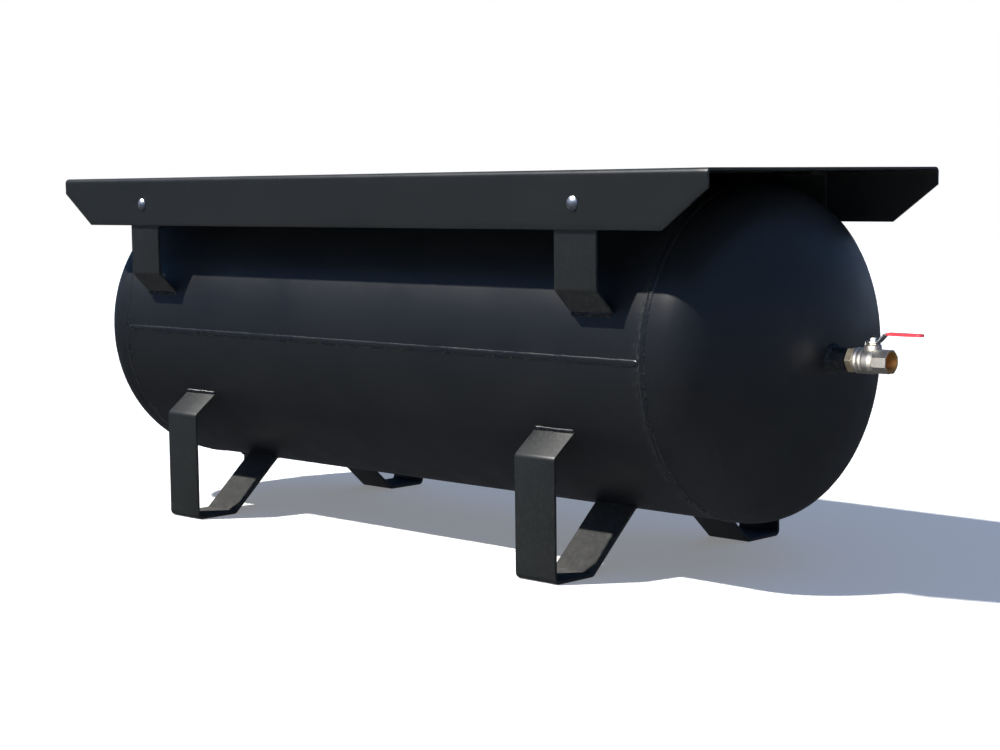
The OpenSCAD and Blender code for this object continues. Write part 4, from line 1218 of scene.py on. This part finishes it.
# The camera sees the floor and the dome; glossy surfaces reflect the darker ground and the sky
def makeSurroundings():
    upright = Matrix.Rotation(-math.pi / 2, 4, "Y")
    radius, pale = studio["radius"], studio["floorColour"]
    material, tree, shader, coords = startMaterial("pale floor", {
        "Roughness": 0.9, "Emission Color": pale, "Emission Strength": studio["floorGlow"]})
    shade = tuple(studio["floorShade"] * c for c in pale[:3]) + (1,)
    tone = patches(tree, coords, 0.6, 0.2, 0.8)
    tree.links.new(blendColour(tree, tone, pale, shade), shader.inputs["Base Color"])
    floor = turned("studioFloor", [(0, 0), (0, radius)], material, upright)
    hideFrom(floor, "glossy")
    material = startMaterial("white dome", {
        "Base Color": (0, 0, 0, 1), "Specular IOR Level": 0.0, "Emission Color": (1, 1, 1, 1),
        "Emission Strength": studio["domeGlow"]})[0]
    quarter = arcPoints(0, 0, radius, math.pi / 2, 0, studio["domeSteps"])
    dome = turned("studioDome", quarter, material, upright)
    hideFrom(dome, "diffuse", "glossy", "shadow", "transmission")
    material = startMaterial("ground in reflections", {"Base Color": studio["ground"], "Roughness": 1.0})[0]
    drop = -studio["groundDrop"]
    ground = turned("studioGround", [(drop, 0), (drop, radius)], material, upright)
    hideFrom(ground, "camera", "diffuse", "shadow", "transmission")
    for piece in (floor, dome, ground):
        piece.data.shade_smooth()


def addLamp(name, kind, way, place, power, colour):
    lamp = bpy.data.lights.new(name, kind)
    lamp.energy = power
    lamp.color = colour
    holder = bpy.data.objects.new(name, lamp)
    bpy.context.scene.collection.objects.link(holder)
    holder.location = place
    holder.rotation_euler = way.to_track_quat("Z", "Y").to_euler()
    return holder


def makeLights():
    way = studio["keyWay"]
    key = addLamp("keyLight", "SUN", way, way * studio["radius"] / 2, studio["keyPower"], studio["keyColour"])
    key.data.angle = studio["keyAngle"]
    way = studio["fillWay"]
    place = Vector((stemX, 0, axisHeight)) + way.normalized() * studio["fillDistance"]
    fill = addLamp("metalFill", "AREA", way, place, studio["fillPower"], studio["fillColour"])
    fill.data.shape = "DISK"
    fill.data.size = studio["fillSize"]
    fill.visible_camera = False
    metals = bpy.data.collections.new("bright metal")  # only these pieces are lit by the fill
    for name in ("valveBody", "valveEndPiece", "glandNut", "leverArm", "leverNut", "leverGrip"):
        metals.objects.link(bpy.data.objects[name])
    fill.light_linking.receiver_collection = metals


# Blue above, haze along the horizon, and a brighter gleam in the haze behind the tank
def makeSky():
    world = bpy.data.worlds.new("studioSky")
    bpy.context.scene.world = world
    world.use_nodes = True
    tree = world.node_tree
    way = splitAxes(tree, addNode(tree, "ShaderNodeTexCoord").outputs["Generated"])
    behind = rangeShare(tree, way[1], *studio["gleamSpan"])
    low = blendColour(tree, behind, studio["haze"], studio["gleam"])
    raised = rangeShare(tree, way[2], *studio["hazeSpan"])
    tree.links.new(blendColour(tree, raised, low, studio["sky"]), tree.nodes["Background"].inputs["Color"])
    bpy.context.scene.view_settings.view_transform = "Standard"


# Camera: it stands in front and to the right, turned by yaw, pitch and a slight roll
view = {
    "place": (2.306225, -2.303225, 0.5780), "yaw": 44.6274, "pitch": 5.5512, "roll": -0.6788,
    "lens": 70.16, "sensor": 36.0, "farthest": 100,
}


def makeCamera():
    yaw, pitch, roll = (math.radians(view[key]) for key in ("yaw", "pitch", "roll"))
    ahead = Vector((-math.sin(yaw) * math.cos(pitch), math.cos(yaw) * math.cos(pitch), -math.sin(pitch)))
    right = Vector((math.cos(yaw), math.sin(yaw), 0))
    up = right.cross(ahead)
    tilted = math.cos(roll) * right + math.sin(roll) * up
    top = -math.sin(roll) * right + math.cos(roll) * up
    lens = bpy.data.cameras.new("camera")
    lens.lens = view["lens"]
    lens.sensor_width = view["sensor"]
    lens.sensor_fit = "HORIZONTAL"
    lens.clip_end = view["farthest"]
    camera = bpy.data.objects.new("camera", lens)
    bpy.context.scene.collection.objects.link(camera)
    turn = Matrix((tilted, top, -ahead)).transposed().to_4x4()
    camera.matrix_world = Matrix.Translation(view["place"]) @ turn
    bpy.context.scene.camera = camera


makeSurroundings()
makeLights()
makeSky()
makeCamera()
print("studio and camera ready")
